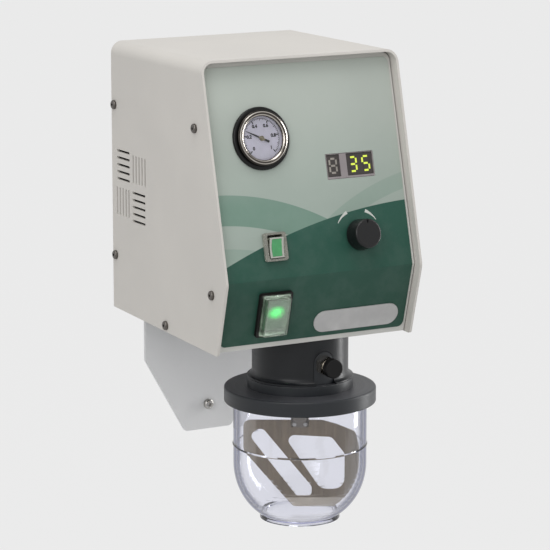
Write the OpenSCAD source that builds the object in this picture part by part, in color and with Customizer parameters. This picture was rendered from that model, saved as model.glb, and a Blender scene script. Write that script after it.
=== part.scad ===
// Bench-top impression mixer on a wall plate: sheet-metal housing, geared drive,
// vacuum pump, bayonet-style lid with a stirring paddle, and a clear bowl.
// Millimetres. X to the right, Y towards the wall, Z up.
// The origin is the centre of the two upper wall holes, on the wall plane.

/* [Housing] */
// Outside width of the cover
cover_w = 178; // [174:1:188]
// Height of the cover above its rear lower edge
cover_h = 222.3; // [218:0.1:232]
// Depth of the cover at the top of its front rim
top_depth = 157; // [153:1:162]
// Depth of the cover at the knee of its front rim
knee_depth = 200; // [197:1:206]
// Height of the knee above the rear lower edge
knee_h = 52.6; // [48:0.1:58]
// Depth of the cover at its lower front corner
foot_depth = 184.3; // [182:0.1:188]
// Drop of the lower edge from the rear to the front
foot_drop = 6.2; // [4:0.1:7]
// Thickness of the cover sheet
cover_t = 2; // [1.5:0.1:2.2]
// Outside radius of the two long bends of the cover
bend_r = 10; // [7:0.5:12]
// Length of a ventilation slot
vent_l = 23.5; // [16:0.5:25]
// Width of a ventilation slot
vent_w = 2; // [1.4:0.1:2.6]

/* [Wall mounting] */
// Gap between the wall and the rear edge of the cover
wall_gap = 4; // [3.6:0.1:6]
// Thickness of the wall plate
plate_t = 3; // [2:0.1:3.2]
// Width of the wall plate
plate_w = 118.6; // [116:0.1:130]
// Width of the tongue at the foot of the wall plate
tongue_w = 44; // [36:1:60]
// Reach of the wall plate below the rear lower edge of the cover
plate_reach = 116.7; // [100:0.1:120]
// Height of the two upper wall holes above the rear lower edge of the cover
wall_hole_h = 190; // [180:1:196]
// Distance between the two upper wall holes
wall_hole_gap = 95; // [80:1:100]
// Diameter of the upper wall holes
wall_hole_d = 6.5; // [5:0.1:8]
// Gap between the wall plate and the back of the chassis
spacer_l = 9; // [7:0.5:12]

/* [Chassis and front panel] */
// Thickness of the chassis sheet
chassis_t = 2; // [1.5:0.1:2.5]
// Height of the underside of the base plate above the rear lower edge
base_h = 8; // [7:0.1:10]
// Recess of the front panel behind the rim of the cover
recess = 7.5; // [5:0.1:9]
// Thickness of the front panel sheet
panel_t = 1.5; // [1:0.1:2]
// Gap between the front panel and the walls of the cover
panel_gap = 1; // [0.6:0.1:1.4]
// Bare strip of the panel left beside the foil on each side
foil_edge = 2; // [1:0.5:4]
// Thickness of the printed foil
foil_t = 0.5; // [0.3:0.1:0.8]

/* [Drive and neck] */
// Sideways position of the mixing axis
neck_x = 13; // [11:0.5:15]
// Distance of the mixing axis from the wall
neck_y = 139.5; // [137.5:0.5:139.5]
// Diameter of the neck
neck_d = 78.6; // [76:0.1:78.8]
// Length of the neck below the rear lower edge of the cover
neck_l = 42.2; // [38:0.1:46]
// Diameter of the foot of the neck and of the boss on the lid
foot_d = 86.4; // [82:0.1:92]
// Diameter of the socket in the neck
socket_d = 62.6; // [58:0.1:66]
// Diameter of the spindle shaft
spindle_d = 15; // [12:0.5:18]
// Outside diameter of the ball bearing
bearing_d = 28; // [26:0.5:34]
// Width of the gearbox
gearbox_w = 52; // [46:1:54]
// Diameter of the drive motor
motor_d = 60; // [50:1:64]
// Height of the drive motor
motor_l = 100; // [80:1:110]

/* [Lid and bowl] */
// Diameter of the lid
lid_d = 124; // [118:0.5:132]
// Height of the rim of the lid
lid_rim = 12.5; // [10:0.5:16]
// Height of the boss between the neck and the rim of the lid
boss_h = 8.1; // [6:0.1:10]
// Outside diameter of the bowl
bowl_d = 109.2; // [104:0.1:112]
// Wall thickness of the bowl
bowl_wall = 2.8; // [2:0.1:3.2]
// Length of the straight upper wall of the bowl
bowl_straight = 55.4; // [50:0.1:62]
// Height of the curved lower part of the bowl
bowl_curve = 50; // [47:0.5:56]
// Diameter of the foot ring of the bowl
bowl_foot_d = 65.6; // [58:0.1:70]
// Distance of the fill line below the top of the bowl
fill_line = 39.6; // [30:0.1:48]

/* [Paddle] */
// Diameter of the paddle shaft
shaft_d = 10; // [9:0.5:11]
// Thickness of the paddle sheet
paddle_t = 2; // [1.5:0.1:2.5]
// Angle of the paddle about the mixing axis as shown
paddle_turn = -29.7; // [-180:0.1:180]
// Gap between the paddle and the inside of the bowl
paddle_gap = 3.3; // [2:0.1:6]

/* [Gauge] */
// Sideways position of the gauge
gauge_x = -40; // [-46:0.5:-38]
// Distance of the gauge centre below the top of the panel
gauge_v = 62.8; // [55:0.1:75]
// Diameter of the black front flange of the gauge
gauge_flange_d = 50; // [48:0.5:54]
// Diameter of the gauge case behind the panel
gauge_case_d = 43; // [40:0.5:44]
// Diameter of the bright bezel
gauge_bezel_d = 44.3; // [43.6:0.1:46]
// Diameter of the visible dial
gauge_dial_d = 34.6; // [32:0.1:36]
// Depth of the gauge case behind the panel
gauge_depth = 26; // [22:0.5:34]
// Angle of the needle at rest, anticlockwise from the right
needle_angle = 154; // [-45:1:225]

/* [Display and knob] */
// Left edge of the display window
display_x = 16; // [14:0.5:18]
// Top edge of the display window below the top of the panel
display_v = 79.5; // [76:0.1:82]
// Width of the display window
display_w = 43.5; // [42.5:0.1:45]
// Height of the display window
display_h = 20.2; // [19.8:0.1:22]
// Sideways position of the setting knob
knob_x = 37.7; // [34:0.1:42]
// Distance of the knob centre below the top of the panel
knob_v = 145.7; // [142:0.1:150]
// Diameter of the setting knob
knob_d = 25; // [20:0.5:30]
// Height of the setting knob
knob_h = 14.5; // [12:0.5:18]
// Push travel of the setting knob
knob_travel = 0.8; // [0.4:0.1:1]

/* [Switches and badge] */
// Sideways position of the vacuum switch
vac_x = -39.4; // [-44:0.1:-34]
// Distance of the vacuum switch centre below the top of the panel
vac_v = 148.2; // [142:0.1:152]
// Width of the vacuum switch frame
vac_w = 20; // [19:0.5:24]
// Height of the vacuum switch frame
vac_h = 22.5; // [21.5:0.5:27]
// Sideways position of the main switch
main_x = -39.9; // [-44:0.1:-36]
// Distance of the main switch centre below the knee of the panel
main_v = 31.8; // [30:0.1:36]
// Width of the main switch frame
main_w = 29; // [28:0.5:34]
// Height of the main switch frame
main_h = 37.5; // [36.5:0.5:40]
// Tilt of a pressed rocker
rocker_tilt = 8; // [5:0.5:9]
// Sideways position of the bare name plate
badge_x = 37.8; // [34:0.1:42]
// Distance of the name plate centre below the knee of the panel
badge_v = 44.2; // [40:0.1:46]
// Width of the name plate
badge_w = 78; // [50:1:84]
// Height of the name plate
badge_h = 18.3; // [12:0.1:20]

/* [Release valve] */
// Height of the valve below the rear lower edge of the cover
valve_drop = 26.3; // [24:0.1:28]
// Diameter of the valve button
valve_d = 15.5; // [13:0.1:17]
// Travel of the valve button
valve_travel = 2.6; // [1.5:0.1:2.8]

/* [Hidden] */
$fn = 64;

// Clearances
skin_gap = 0.2;
seat_gap = 0.3;
run_gap = 0.05;
screw_gap = 0.25;
thread_gap = 0.05;
rest_gap = 0.02;

// Housing planes: the rim of the cover and, behind it, the folded front panel
rim_top = [-(wall_gap + top_depth), cover_h];
rim_knee = [-(wall_gap + knee_depth), knee_h];
rim_foot = [-(wall_gap + foot_depth), -foot_drop];
lean_up = atan2(rim_top[0] - rim_knee[0], rim_top[1] - rim_knee[1]);
lean_low = atan2(rim_foot[0] - rim_knee[0], rim_knee[1] - rim_foot[1]);
up_out = [-cos(lean_up), sin(lean_up)];
low_out = [-cos(lean_low), -sin(lean_low)];
up_start = rim_top - recess * up_out;
low_start = rim_knee - recess * low_out;
inner_half = cover_w / 2 - cover_t;
panel_half = inner_half - panel_gap;
panel_top = cover_h - cover_t - panel_gap;
panel_foot = -foot_drop + 1.1;
foil_w = 2 * (panel_half - foil_edge);
foil_top = panel_top - 3.6;
foil_foot = panel_foot + 4.1;
return_l = 30;
lip_l = 9;

// Screws: head diameter, head height, shank diameter
cover_screw = [7.5, 2.4, 4];
plate_screw = [9, 3.2, 5];
neck_screw = [8.5, 5, 5];
small_screw = [6, 2, 3];

// Chassis
back_rear = -(plate_t + spacer_l);
back_front = back_rear - chassis_t;
base_top = base_h + chassis_t;
base_front = -(wall_gap + foot_depth) + 7;
chassis_top = cover_h - 17;
flange_half = inner_half - skin_gap;
access_d = 16;
plate_reach_knee = 66.1 - plate_reach;
plate_screw_x = 45;
plate_screw_z = [38, 150];
flange_low = -1;
notch_y = -(wall_gap + foot_depth) + return_l + 13;
notch_half = panel_half - panel_t - 0.6;
side_screws = [[-wall_gap - 5.5, 170.5], [-wall_gap - 148.6, 169.1], [-wall_gap - 5.5, 44.9],
    [-wall_gap - 176, 41.3], [-wall_gap - 96.4, 2.1]];

// Ventilation: horizontal stacks and upright stacks, centre (y, z) and pitch
vent_n = 5;
vent_stacks = [[-wall_gap - 20.9, 121.7, 0, 5.8], [-wall_gap - 50, 121.2, 90, 5.4],
    [-wall_gap - 20, 91.2, 90, 5.4], [-wall_gap - 49.1, 90.2, 0, 5.8]];

// Neck, drive and lid, heights along the mixing axis
neck_r = neck_d / 2;
foot_r = foot_d / 2;
socket_r = socket_d / 2;
web_low = -6;
bearing_h = 7;
bearing_low = base_h - bearing_h;
screw_circle = 24;
spindle_top = base_top + 22;
dog_low = -20;
dog_r = 12;
dog_top = web_low - seat_gap;
hex_flat = 8.2;
hex_low = dog_low - 1;
hex_top = -10;
gearbox_front = neck_y + 28;
gearbox_rear = neck_y - 58;
gearbox_h = 38;
gearbox_top = base_top + gearbox_h;
motor_y = neck_y - 27;
port_x = -socket_r - 0.2;
boss_top = -neck_l - seat_gap;
rim_top_z = -neck_l - seat_gap - boss_h;
rim_low_z = rim_top_z - lid_rim;
hub_r = socket_r - seat_gap;
hub_top = -29;
bowl_r = bowl_d / 2;
bowl_top = rim_low_z + 3.6;
seal_top = bowl_top + 2.3;
seal_gap = 0.5;
plug_r = bowl_r - bowl_wall - 0.6;
plug_low = rim_low_z + 0.8;
bush_r = 8;
seal_h = 6;
shaft_low = rim_low_z - 22;
clamp_r = 7.5;
clamp_flat = 5.2;
clamp_h = 11;
clamp_screw_x = 4.5;
tongue_half = 8.8;
tongue_arc_z = -24.3;
slot_gap = 0.4;
valve_z = -valve_drop;
nut_flat = 14.5;
nut_l = 7;
collar_l = 2.4;
button_l = 6.6;
button_start = neck_r + nut_l + valve_travel + 0.7;
bowl_round_z = bowl_top - bowl_straight;
bowl_nose = 10;
bowl_swell = bowl_r - bowl_nose;
bowl_end = acos((bowl_foot_d / 2 - bowl_nose) / bowl_swell);
bowl_foot_z = bowl_round_z - bowl_curve * sin(bowl_end);
bowl_foot_h = 3.5;
bowl_floor = 3;

// Inside of the bowl
floor_z = bowl_foot_z - bowl_foot_h + 1.5 + bowl_floor;
bowl_in_end = asin((bowl_round_z - floor_z) / (bowl_curve - bowl_wall));

// Paddle outline: distance from the axis, depth below the top edge of the sheet, corner radius.
// Its outer and lower edges keep the same gap to the bowl.
paddle_top = shaft_low + 4.9;
paddle_edge = bowl_wall + paddle_gap;
paddle_reach = bowl_r - paddle_edge;
paddle_low = paddle_top - floor_z - paddle_gap;
paddle_end = asin((bowl_round_z - paddle_top + paddle_low) / (bowl_curve - paddle_edge));
paddle_curve = [for (i = [0:8])
    [bowl_nose + (bowl_swell - paddle_edge) * cos(paddle_end * i / 8),
        paddle_top - bowl_round_z + (bowl_curve - paddle_edge) * sin(paddle_end * i / 8), 0]];
paddle_line = concat([[2 - paddle_reach, 0, 6], [18.3, 0, 3], [30.2, 3.4, 8],
    [paddle_reach - 2.8, 9.6, 6], [paddle_reach, 22, 4]], paddle_curve,
    [[-5.5, paddle_low, 8], [2 - paddle_reach, 25, 6]]);
paddle_slot_a = [[-42.4, 12, 5.5], [-31, 6, 5], [9.8, paddle_low - 17.5, 5],
    [9.8, paddle_low - 8.9, 3.5], [-2.5, paddle_low - 8.9, 3.5]];
slot_right = paddle_reach - 11.8;
paddle_slot_b = [[-14, 12, 5], [slot_right - 10.7, 14, 6], [slot_right, 28, 4],
    [slot_right, paddle_low - 14.5, 9], [17, paddle_low - 15, 10]];
bend_low = paddle_low - 7.5;
bend_left = 5.9 - paddle_reach;
flap_angle = 28;

// Panel parts, heights along the normal of the panel
face = foil_t;
case_wall = 1.5;
flange_h = 2.5;
bezel_low = face + flange_h + 2 * rest_gap;
bezel_h = 3.4;
lip_w = 1.3;
lens_t = 1.3;
dial_z = 1.2;
dial_t = 0.5;
board_top = -8;
board_t = 1.6;
pair_w = 23.6;
single_w = 11.4;
digit_h = 17.2;
digit_x = [display_x + 0.9, display_x + display_w - 0.9 - pair_w];
digit_v = display_v + 0.9;
board_x = [display_x - 9, display_x + display_w + 9];
board_v = [display_v - 6, knob_v + 12];
encoder_w = 12;
encoder_shaft_d = 6;
bushing_d = 7;
bushing_l = 3.2;
knob_low = face + 1.2 + knob_travel;
vac_pocket = [13.4, vac_h - 3.9];
vac_rocker = [12.4, vac_h - 5.7];
vac_lens = [8.5, vac_h - 8.9];
main_pocket = [main_w - 10.6, main_h - 8.6];
main_rocker_size = [main_w - 11.6, main_h - 11.6];
switch_depth = 24;

// Electrical and vacuum parts on the chassis
inlet_x = 55;
inlet_y = -54;
pump_x = -53;
pump_y = -50;
pump_r = 24;
head_size = [48, 38, 52];
head_front = pump_y - 30;
solenoid_x = -64;
solenoid_y = -135;
power_x = [6, 80];
power_z = [52, 150];
power_gap = 10;
hose_r = 3.4;

// Points of a polygon whose corners [x, y, radius] are rounded by arcs
function unit(v) = v / norm(v);
function arc_turn(a) = a > 180 ? a - 360 : (a < -180 ? a + 360 : a);
function arc_points(p, q, s, r, steps) =
    let (u = unit(p - q), w = unit(s - q), half = acos(u * w) / 2,
        reach = r / tan(half), c = q + unit(u + w) * (r / sin(half)),
        a = q + u * reach - c, b = q + w * reach - c,
        a0 = atan2(a[1], a[0]), sweep = arc_turn(atan2(b[1], b[0]) - a0))
    [for (i = [0:steps]) c + r * [cos(a0 + sweep * i / steps), sin(a0 + sweep * i / steps)]];
function flat_point(p) = [p[0], p[1]];
function rounded(pts, steps = 6) =
    let (n = len(pts))
    [for (i = [0:n - 1])
        let (p = flat_point(pts[(i + n - 1) % n]), q = flat_point(pts[i]),
            s = flat_point(pts[(i + 1) % n]))
        each (pts[i][2] > 0 ? arc_points(p, q, s, pts[i][2], steps) : [q])];

// A band of thickness t on the right-hand side of a line of points
function left_of(d) = [-d[1], d[0]];
function shift_point(pts, i, t) =
    let (n = len(pts), a = i > 0 ? unit(pts[i] - pts[i - 1]) : unit(pts[1] - pts[0]),
        b = i < n - 1 ? unit(pts[i + 1] - pts[i]) : a, m = unit(left_of(a) + left_of(b)))
    pts[i] + m * t / (m * left_of(a));
function band(pts, t0, t1) = concat(
    [for (i = [0:len(pts) - 1]) shift_point(pts, i, t0)],
    [for (i = [len(pts) - 1:-1:0]) shift_point(pts, i, t1)]);
function mix(a, b, k) = a + (b - a) * k;
function at_height(a, b, z) = mix(a, b, (z - a[1]) / (b[1] - a[1]));

// Line of the panel's front face from the top to the foot
function cross_point(p, d, q, e) =
    let (k = ((q[0] - p[0]) * e[1] - (q[1] - p[1]) * e[0]) / (d[0] * e[1] - d[1] * e[0]))
    p + d * k;
up_dir = [-sin(lean_up), -cos(lean_up)];
low_dir = [sin(lean_low), -cos(lean_low)];
panel_knee = cross_point(up_start, up_dir, low_start, low_dir);
panel_line = [at_height(up_start, up_start + up_dir, panel_top), panel_knee,
    at_height(low_start, low_start + low_dir, panel_foot)];

// Places
module housing() { translate([0, 0, -wall_hole_h]) children(); }
module at_neck() { housing() translate([neck_x, -neck_y, 0]) children(); }
module at_upper(x, v) {
    p = up_start + up_dir * v;
    housing() translate([x, p[0], p[1]]) rotate([90 - lean_up, 0, 0]) children();
}
module at_lower(x, v) {
    p = low_start + low_dir * v;
    housing() translate([x, p[0], p[1]]) rotate([90 + lean_low, 0, 0]) children();
}
// Stands a (y, z) outline between two X values
module across(x0, x1) {
    translate([x0, 0, 0]) rotate([90, 0, 90]) linear_extrude(x1 - x0) children();
}
// Stands an (x, z) outline between two Y values
module along(y0, y1) {
    translate([0, y1, 0]) rotate([90, 0, 0]) linear_extrude(y1 - y0) children();
}
module both_sides() {
    children();
    mirror([1, 0, 0]) children();
}

// Simple forms
module ring(r_out, r_in, h) {
    difference() {
        cylinder(r = r_out, h = h);
        translate([0, 0, -1]) cylinder(r = r_in, h = h + 2);
    }
}
module block(x0, x1, y0, y1, z0, z1) {
    translate([x0, y0, z0]) cube([x1 - x0, y1 - y0, z1 - z0]);
}
module round_block(w, h, r, z0, z1) {
    corners = [[-w / 2, -h / 2, r], [w / 2, -h / 2, r], [w / 2, h / 2, r], [-w / 2, h / 2, r]];
    translate([0, 0, z0]) linear_extrude(z1 - z0) polygon(rounded(corners));
}
module hexagon(flat, h) { cylinder(d = flat / cos(30), h = h, $fn = 6); }
module hexagon_up(flat, h) { rotate(30) hexagon(flat, h); }
// A screw that points down from z = 0, its head above
module screw(s, shank) {
    difference() {
        union() {
            translate([0, 0, -shank]) cylinder(d = s[2], h = shank + 0.5);
            rotate_extrude() polygon(rounded([[0, 0, 0], [s[0] / 2, 0, 0],
                [s[0] / 2, s[1], s[1] * 0.55], [0, s[1], 0]]));
        }
        translate([0, 0, s[1] * 0.45]) hexagon(s[2] * 0.55, s[1]);
    }
}

// Cover and its screws
module cover_section() {
    difference() {
        union() {
            translate([-cover_w / 2, -foot_drop - 5]) square([cover_w, cover_h + foot_drop + 5 - bend_r]);
            translate([-cover_w / 2 + bend_r, 0]) square([cover_w - 2 * bend_r, cover_h]);
            for (s = [-1, 1])
                translate([s * (cover_w / 2 - bend_r), cover_h - bend_r]) circle(r = bend_r);
        }
        translate([-inner_half, -foot_drop - 10])
            square([2 * inner_half, cover_h + foot_drop + 10 - bend_r]);
        translate([-cover_w / 2 + bend_r, -foot_drop - 10])
            square([cover_w - 2 * bend_r, cover_h + foot_drop + 10 - cover_t]);
        for (s = [-1, 1])
            translate([s * (cover_w / 2 - bend_r), cover_h - bend_r]) circle(r = bend_r - cover_t);
    }
}
module vent_slot() {
    square([vent_l - vent_w, vent_w], center = true);
    for (s = [-1, 1]) translate([s * (vent_l - vent_w) / 2, 0]) circle(d = vent_w, $fn = 24);
}
module vents() {
    for (s = vent_stacks)
        translate([s[0], s[1]]) rotate(s[2])
            for (i = [0:vent_n - 1]) translate([0, (i - (vent_n - 1) / 2) * s[3]]) vent_slot();
}
module cover() {
    color("gainsboro") housing() difference() {
        intersection() {
            along(-(wall_gap + knee_depth), -wall_gap) cover_section();
            across(-cover_w, cover_w) polygon(rounded([[-wall_gap, 0, 1], rim_foot_corner(),
                rim_knee_corner(), [rim_top[0], cover_h + 5, 0], [-wall_gap, cover_h + 5, 0]]));
        }
        both_sides() {
            across(inner_half - 5, cover_w) vents();
            for (s = side_screws)
                across(inner_half - 5, cover_w)
                    translate(s) circle(d = cover_screw[2] + 2 * screw_gap, $fn = 32);
        }
    }
}
function rim_foot_corner() = [rim_foot[0], rim_foot[1], 2.5];
function rim_knee_corner() = [rim_knee[0], rim_knee[1], 9];
module cover_screws() {
    color("silver") housing() both_sides() for (s = side_screws)
        translate([cover_w / 2, s[0], s[1]]) rotate([0, 90, 0])
            screw(cover_screw, cover_t + skin_gap + chassis_t + 3);
}

// Folded front panel
module panel_outline(half, low, high, r) {
    along(-(wall_gap + knee_depth), 0)
        polygon(rounded([[-half, low, 0.01], [half, low, 0.01], [half, high, r], [-half, high, r]]));
}
module panel_cuts(grow) {
    at_upper(gauge_x, gauge_v) translate([0, 0, -5])
        cylinder(d = gauge_case_d + 1 + 2 * grow, h = 10);
    at_upper(display_x + display_w / 2, display_v + display_h / 2)
        round_block(display_w + 2 * grow, display_h + 2 * grow, 0.6, -5, 5);
    at_upper(knob_x, knob_v) translate([0, 0, -5])
        cylinder(d = bushing_d + 2 * screw_gap + 2 * grow, h = 10);
    at_upper(vac_x, vac_v) round_block(vac_w - 2.4 + grow, vac_h - 1.6 + grow, 1, -5, 5);
    at_lower(main_x, main_v) round_block(main_w - 3.4 + grow, main_h - 3.4 + grow, 1, -5, 5);
}
module front_panel() {
    lip_z = panel_line[2][1];
    color("gainsboro") difference() {
        housing() difference() {
            union() {
                intersection() {
                    across(-panel_half, panel_half) polygon(band(panel_line, 0, panel_t));
                    panel_outline(panel_half, panel_foot - 5, panel_top, bend_r - cover_t - panel_gap);
                }
                both_sides() intersection() {
                    across(panel_half - panel_t, panel_half) polygon(band(panel_line, 0, return_l));
                    block(0, cover_w, -300, 0, panel_foot, cover_h - bend_r - cover_t);
                }
                across(-panel_half + bend_r, panel_half - bend_r)
                    translate([panel_line[0][0], panel_top - panel_t]) square([return_l / 2, panel_t]);
                for (x = [[-panel_half, neck_x - neck_r - 4], [neck_x + neck_r + 4, panel_half]])
                    across(x[0], x[1])
                        translate([panel_line[2][0] + 0.2, lip_z]) square([lip_l, panel_t]);
            }
            both_sides() for (s = [side_screws[1], side_screws[3]])
                across(inner_half - 10, cover_w)
                    translate(s) circle(d = cover_screw[2] + 2 * thread_gap, $fn = 32);
        }
        panel_cuts(0);
    }
}
module panel_foil() {
    color([0.36, 0.52, 0.46]) difference() {
        housing() intersection() {
            across(-foil_w / 2, foil_w / 2) polygon(band(panel_line, -foil_t, 0));
            along(-(wall_gap + knee_depth), 0) polygon(rounded([[-foil_w / 2, foil_foot, 5],
                [foil_w / 2, foil_foot, 5], [foil_w / 2, foil_top, 5], [-foil_w / 2, foil_top, 5]]));
        }
        panel_cuts(0.2);
    }
}

// Chassis: back plate and base plate folded from one sheet
module chassis() {
    color("lightgray") housing() difference() {
        union() {
            block(-flange_half, flange_half, back_front, back_rear, base_h, chassis_top);
            block(-flange_half, flange_half, notch_y, back_rear, base_h, base_top);
            block(-notch_half, notch_half, base_front, notch_y + 1, base_h, base_top);
            both_sides() {
                block(flange_half - chassis_t, flange_half, back_front, -wall_gap - 1, base_h + 12,
                    chassis_top);
                block(flange_half - chassis_t, flange_half, notch_y, -40, flange_low, base_top);
            }
            block(-notch_half, notch_half, base_front, base_front + chassis_t, base_h, base_top + 5);
        }
        both_sides() {
            across(inner_half - 10, cover_w) for (s = [side_screws[0], side_screws[2], side_screws[4]])
                translate(s) circle(d = cover_screw[2] + 2 * thread_gap, $fn = 32);
            along(-40, 0) {
                translate([wall_hole_gap / 2, wall_hole_h]) circle(d = access_d);
                for (z = plate_screw_z)
                    translate([plate_screw_x, z]) circle(d = plate_screw[2] + 2 * screw_gap, $fn = 32);
            }
        }
        translate([neck_x, -neck_y, 0]) {
            cylinder(d = bearing_d - 6, h = 40);
            translate([port_x, 0, 0]) cylinder(r = 4 + screw_gap, h = 40);
            for (a = [45:90:315]) rotate(a) translate([screw_circle, 0, 0])
                cylinder(d = neck_screw[2] + 2 * screw_gap, h = 40);
        }
        for (x = [-1, 1]) translate([neck_x + x * (gearbox_w / 2 - 7), -gearbox_rear - 8, 0])
            cylinder(d = plate_screw[2] + 2 * screw_gap, h = 40);
        block(main_x - main_w / 2 - 1, main_x + main_w / 2 + 1, base_front - 5, base_front + 18, 0, 40);
        translate([inlet_x, inlet_y, 0]) round_block(28, 20.5, 2, 0, 40);
        for (x = [-1, 1]) translate([inlet_x + 20 * x, inlet_y, 0])
            cylinder(d = small_screw[2] + 2 * screw_gap, h = 40);
    }
}

// Wall plate and what joins it to the chassis
module wall_plate() {
    w = plate_w / 2;
    t = tongue_w / 2;
    top = chassis_top - 2;
    color("silver") housing() difference() {
        along(-plate_t, 0) polygon(rounded([[-w, plate_reach_knee, 3], [-t, -plate_reach, 4],
            [t, -plate_reach, 4], [w, plate_reach_knee, 3], [w, top, 6], [-w, top, 6]]));
        both_sides() along(-20, 20) {
            translate([wall_hole_gap / 2, wall_hole_h]) circle(d = wall_hole_d);
            for (z = plate_screw_z)
                translate([plate_screw_x, z]) circle(d = plate_screw[2] + 2 * thread_gap, $fn = 32);
        }
        along(-20, 20) translate([0, 21.7 - plate_reach]) circle(d = plate_screw[2] + 2 * thread_gap);
    }
}
module plate_spacers() {
    color("silver") housing() both_sides() for (z = plate_screw_z)
        translate([plate_screw_x, -plate_t, z]) rotate([90, 0, 0])
            ring(6, plate_screw[2] / 2 + screw_gap, spacer_l);
}
module plate_screws() {
    color("silver") housing() both_sides() for (z = plate_screw_z)
        translate([plate_screw_x, back_front, z]) rotate([90, 0, 0])
            screw(plate_screw, -back_front - 0.4);
}
module tongue_screw() {
    color("silver") housing() translate([0, -plate_t, 21.7 - plate_reach]) rotate([90, 0, 0])
        screw([8.8, 3.4, 5], plate_t - 0.2);
}

// Neck: a downward socket with a bearing seat in its web
module tongue_shape(half, low) {
    polygon(concat([[half, low], [-half, low]],
        [for (a = [180:-10:0]) [half * cos(a), tongue_arc_z + half * sin(a)]]));
}
module neck() {
    flare = foot_r - neck_r;
    color([0.2, 0.21, 0.23]) at_neck() difference() {
        rotate_extrude($fn = 96) polygon(concat(
            [[spindle_d / 2 + 1, web_low], [spindle_d / 2 + 1, bearing_low],
                [bearing_d / 2 + run_gap, bearing_low], [bearing_d / 2 + run_gap, base_h],
                [neck_r, base_h]],
            [for (a = [0:15:90]) [foot_r - flare * cos(a), -neck_l + 6.2 - 5.2 * sin(a)]],
            [[foot_r, -neck_l], [socket_r, -neck_l], [socket_r, web_low]]));
        along(-neck_r - 8, -socket_r + 8) tongue_shape(tongue_half + slot_gap, -neck_l - 10);
        translate([port_x, 0, web_low - 5]) cylinder(r = 2, h = 40);
        translate([port_x, 0, base_h - 5]) cylinder(r = 4 + run_gap, h = 40);
        for (a = [45:90:315]) rotate(a) translate([screw_circle, 0, web_low - 1]) {
            cylinder(d = neck_screw[2] + 2 * screw_gap, h = 40);
            cylinder(d = neck_screw[0] + 2 * screw_gap, h = neck_screw[1] + 1.5);
        }
    }
}
module neck_screws() {
    color("silver") at_neck() for (a = [45:90:315]) rotate(a)
        translate([screw_circle, 0, web_low + neck_screw[1] + 0.5]) rotate([180, 0, 0])
            screw(neck_screw, base_top - web_low - neck_screw[1] + 7);
}
module spindle_bearing() {
    color("silver") at_neck() translate([0, 0, bearing_low]) rotate_extrude() {
        difference() {
            translate([spindle_d / 2 + 0.02, 0]) square([(bearing_d - spindle_d) / 2 - 0.02, bearing_h]);
            for (z = [-0.01, bearing_h - 0.79]) translate([(bearing_d + spindle_d) / 4 - 1.5, z])
                square([3, 0.8]);
        }
    }
}
module spindle() {
    color("silver") at_neck() difference() {
        union() {
            translate([0, 0, dog_low]) cylinder(r = dog_r, h = dog_top - dog_low);
            translate([0, 0, dog_top - 1]) cylinder(d = spindle_d, h = spindle_top - dog_top + 1);
        }
        translate([0, 0, dog_low - 1]) rotate(paddle_turn)
            hexagon(hex_flat + 4 * run_gap, hex_top - dog_low + 1 + seat_gap);
    }
}

// Gearbox and drive motor
module gearbox() {
    color([0.55, 0.56, 0.58]) housing() difference() {
        translate([neck_x, -(gearbox_front + gearbox_rear) / 2, 0])
            round_block(gearbox_w, gearbox_front - gearbox_rear, 6, base_top, gearbox_top);
        translate([neck_x, -neck_y, 0]) {
            cylinder(d = spindle_d + 2 * run_gap, h = spindle_top + seat_gap);
            for (a = [45:90:315]) rotate(a) translate([screw_circle, 0, 0])
                cylinder(d = neck_screw[2] + 2 * thread_gap, h = base_top + 8);
        }
        for (x = [-1, 1]) translate([neck_x + x * (gearbox_w / 2 - 7), -gearbox_rear - 8, 0])
            cylinder(d = plate_screw[2] + 2 * thread_gap, h = base_top + 8);
        for (a = [45:90:315]) translate([neck_x, -motor_y, gearbox_top - 8]) rotate(a)
            translate([motor_d / 2 - 6, 0, 0]) cylinder(d = small_screw[2] + 2 * thread_gap, h = 20);
    }
}
module gearbox_screws() {
    color("silver") housing() for (x = [-1, 1])
        translate([neck_x + x * (gearbox_w / 2 - 7), -gearbox_rear - 8, base_h]) rotate([180, 0, 0])
            screw(plate_screw, chassis_t + 6);
}
module drive_motor() {
    color([0.3, 0.3, 0.32]) housing() translate([neck_x, -motor_y, gearbox_top]) difference() {
        union() {
            cylinder(d = motor_d, h = 5);
            cylinder(d = motor_d - 20, h = 16);
            translate([0, 0, 15]) cylinder(d = motor_d, h = motor_l - 25);
            translate([0, 0, motor_l - 11]) cylinder(d = motor_d - 8, h = 8);
            translate([0, 0, motor_l - 4]) cylinder(d = 16, h = 4);
        }
        for (a = [45:90:315]) rotate(a) translate([motor_d / 2 - 6, 0, -1])
            cylinder(d = small_screw[2] + 2 * screw_gap, h = 8);
    }
}
module motor_screws() {
    color("silver") housing() translate([neck_x, -motor_y, gearbox_top + 5]) for (a = [45:90:315])
        rotate(a) translate([motor_d / 2 - 6, 0, 0]) screw([5.6, 2, 3], 11);
}

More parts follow.
